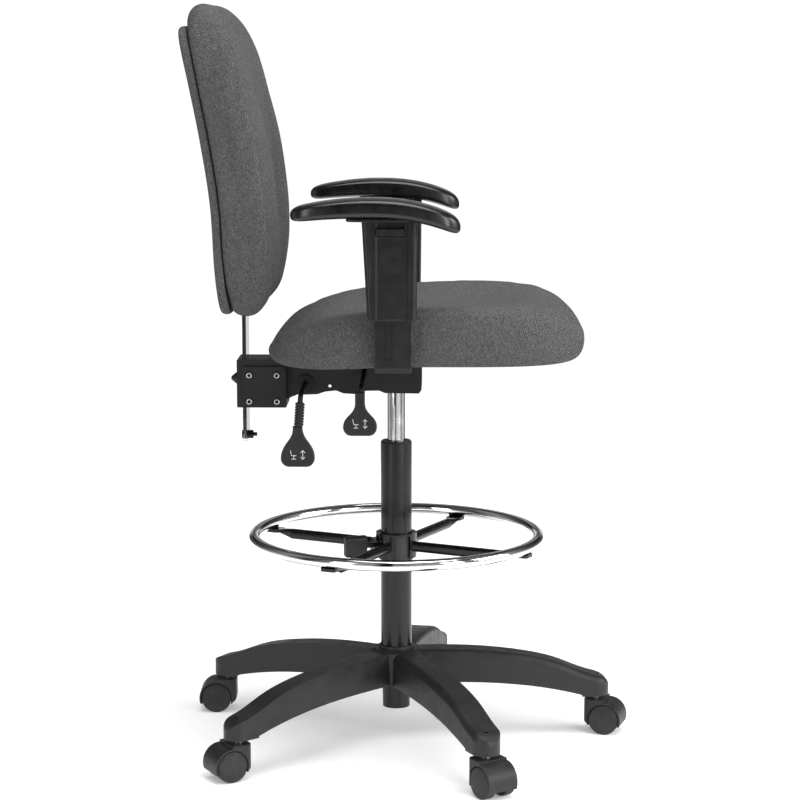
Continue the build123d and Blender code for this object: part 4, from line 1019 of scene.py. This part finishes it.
soft_light("overhead", (-0.4, -0.3, 3.4), (0, 0, 0.6), 2.2, 2.2, 78)
soft_light("front_fill", (-0.5, -3.4, 1.7), (0, 0, 0.8), 1.8, 1.8, 76)
soft_light("near_rear_box", (-2.7, 2.3, 1.3), (0, 0, 0.7), 1.0, 2.6, 29)
soft_light("near_front_box", (-2.6, -2.6, 1.4), (0, 0, 0.7), 1.0, 2.6, 52)
sun = bpy.data.lights.new("skylight", "SUN")
sun.energy = 1.75
sun.angle = math.radians(70)
sun_holder = bpy.data.objects.new("skylight", sun)
sun_holder.rotation_euler = Vector((0.35, 0.1, -1)).to_track_quat("-Z", "Y").to_euler()
sun_holder.visible_glossy = False
bpy.context.scene.collection.objects.link(sun_holder)

ROUND_THE_ROOM = (
    (0.004, 0.7), (0.02, 0.6), (0.05, 1.0), (0.13, 1.0), (0.2, 0.15), (0.27, 1.0),
    (0.36, 0.2), (0.44, 0.08), (0.465, 0.9), (0.535, 0.9), (0.56, 0.08), (0.64, 0.2),
    (0.73, 0.8), (0.8, 0.1), (0.87, 0.9), (0.95, 0.9), (0.972, 0.04), (0.993, 0.04),
)  # bearing as a part of a turn, then brightness
# How high the direction points, as its z, then brightness.
UP_THE_WALLS = ((0.1, 1.0), (0.2, 0.12), (0.34, 0.45), (0.6, 0.5), (0.85, 0.3))
BACKDROP_WHITE = 1.4
ROOM_BRIGHTNESS = 0.75
world = bpy.data.worlds.new("studio")
bpy.context.scene.world = world
world.use_nodes = True
sky = world.node_tree
direction = add_node(sky, "TexCoord")
parts = add_node(sky, "SeparateXYZ")
bearing = add_node(sky, "Math")
bearing.operation = "ARCTAN2"
round_studio = add_node(sky, "MapRange", From_Min=-math.pi, From_Max=math.pi)
walls = grey_ramp(sky, 0.75, 0.75, ROUND_THE_ROOM)
height = grey_ramp(sky, 1.0, 0.5, UP_THE_WALLS)
product = add_node(sky, "Mix")
product.data_type = "RGBA"
product.blend_type = "MULTIPLY"
product.inputs["Factor"].default_value = 1.0
seen = add_node(sky, "LightPath")
plain = add_node(sky, "Mix")
plain.data_type = "RGBA"
plain.inputs["B"].default_value = (BACKDROP_WHITE, BACKDROP_WHITE, BACKDROP_WHITE, 1)
backdrop = sky.nodes["Background"]
wire(
    sky,
    (direction.outputs["Generated"], parts.inputs["Vector"]),
    (parts.outputs["Y"], bearing.inputs[0]),
    (parts.outputs["X"], bearing.inputs[1]),
    (bearing.outputs["Value"], round_studio.inputs["Value"]),
    (round_studio.outputs["Result"], walls.inputs["Fac"]),
    (parts.outputs["Z"], height.inputs["Fac"]),
    (walls.outputs["Color"], product.inputs["A"]),
    (height.outputs["Color"], product.inputs["B"]),
    (product.outputs["Result"], plain.inputs["A"]),
    (seen.outputs["Is Camera Ray"], plain.inputs["Factor"]),
    (plain.outputs["Result"], backdrop.inputs["Color"]),
)
backdrop.inputs["Strength"].default_value = ROOM_BRIGHTNESS

FLOOR_RADIUS = 2.6
floor_mesh = bpy.data.meshes.new("floor")
rim_angle = np.linspace(0, 2 * np.pi, 96, endpoint=False)
rim_points = FLOOR_RADIUS * np.stack([np.cos(rim_angle), np.sin(rim_angle), 0 * rim_angle], axis=-1)
floor_mesh.from_pydata(rim_points.tolist(), [], [tuple(range(len(rim_points)))])
floor = bpy.data.objects.new("floor", floor_mesh)
bpy.context.scene.collection.objects.link(floor)
pale = bpy.data.materials.new("pale_floor")
pale.use_nodes = True
pale_skin = pale.node_tree.nodes["Principled BSDF"]
pale_skin.inputs["Base Color"].default_value = (0.84, 0.84, 0.84, 1)
pale_skin.inputs["Roughness"].default_value = 0.8
pale_skin.inputs["Emission Color"].default_value = (1, 1, 1, 1)
pale_skin.inputs["Emission Strength"].default_value = 0.27
floor_mesh.materials.append(pale)

CAMERA_PLACE = Vector((-3.751, -0.085, 1.117))
CAMERA_AIM = Vector((0, -0.006, 0.557))
lens = bpy.data.cameras.new("side_camera")
lens.lens = 106.4
lens.sensor_width = 36.0
camera = bpy.data.objects.new("side_camera", lens)
camera.location = CAMERA_PLACE
camera.rotation_euler = (CAMERA_AIM - CAMERA_PLACE).to_track_quat("-Z", "Y").to_euler()
bpy.context.scene.collection.objects.link(camera)
bpy.context.scene.camera = camera
bpy.context.scene.view_settings.view_transform = "Standard"
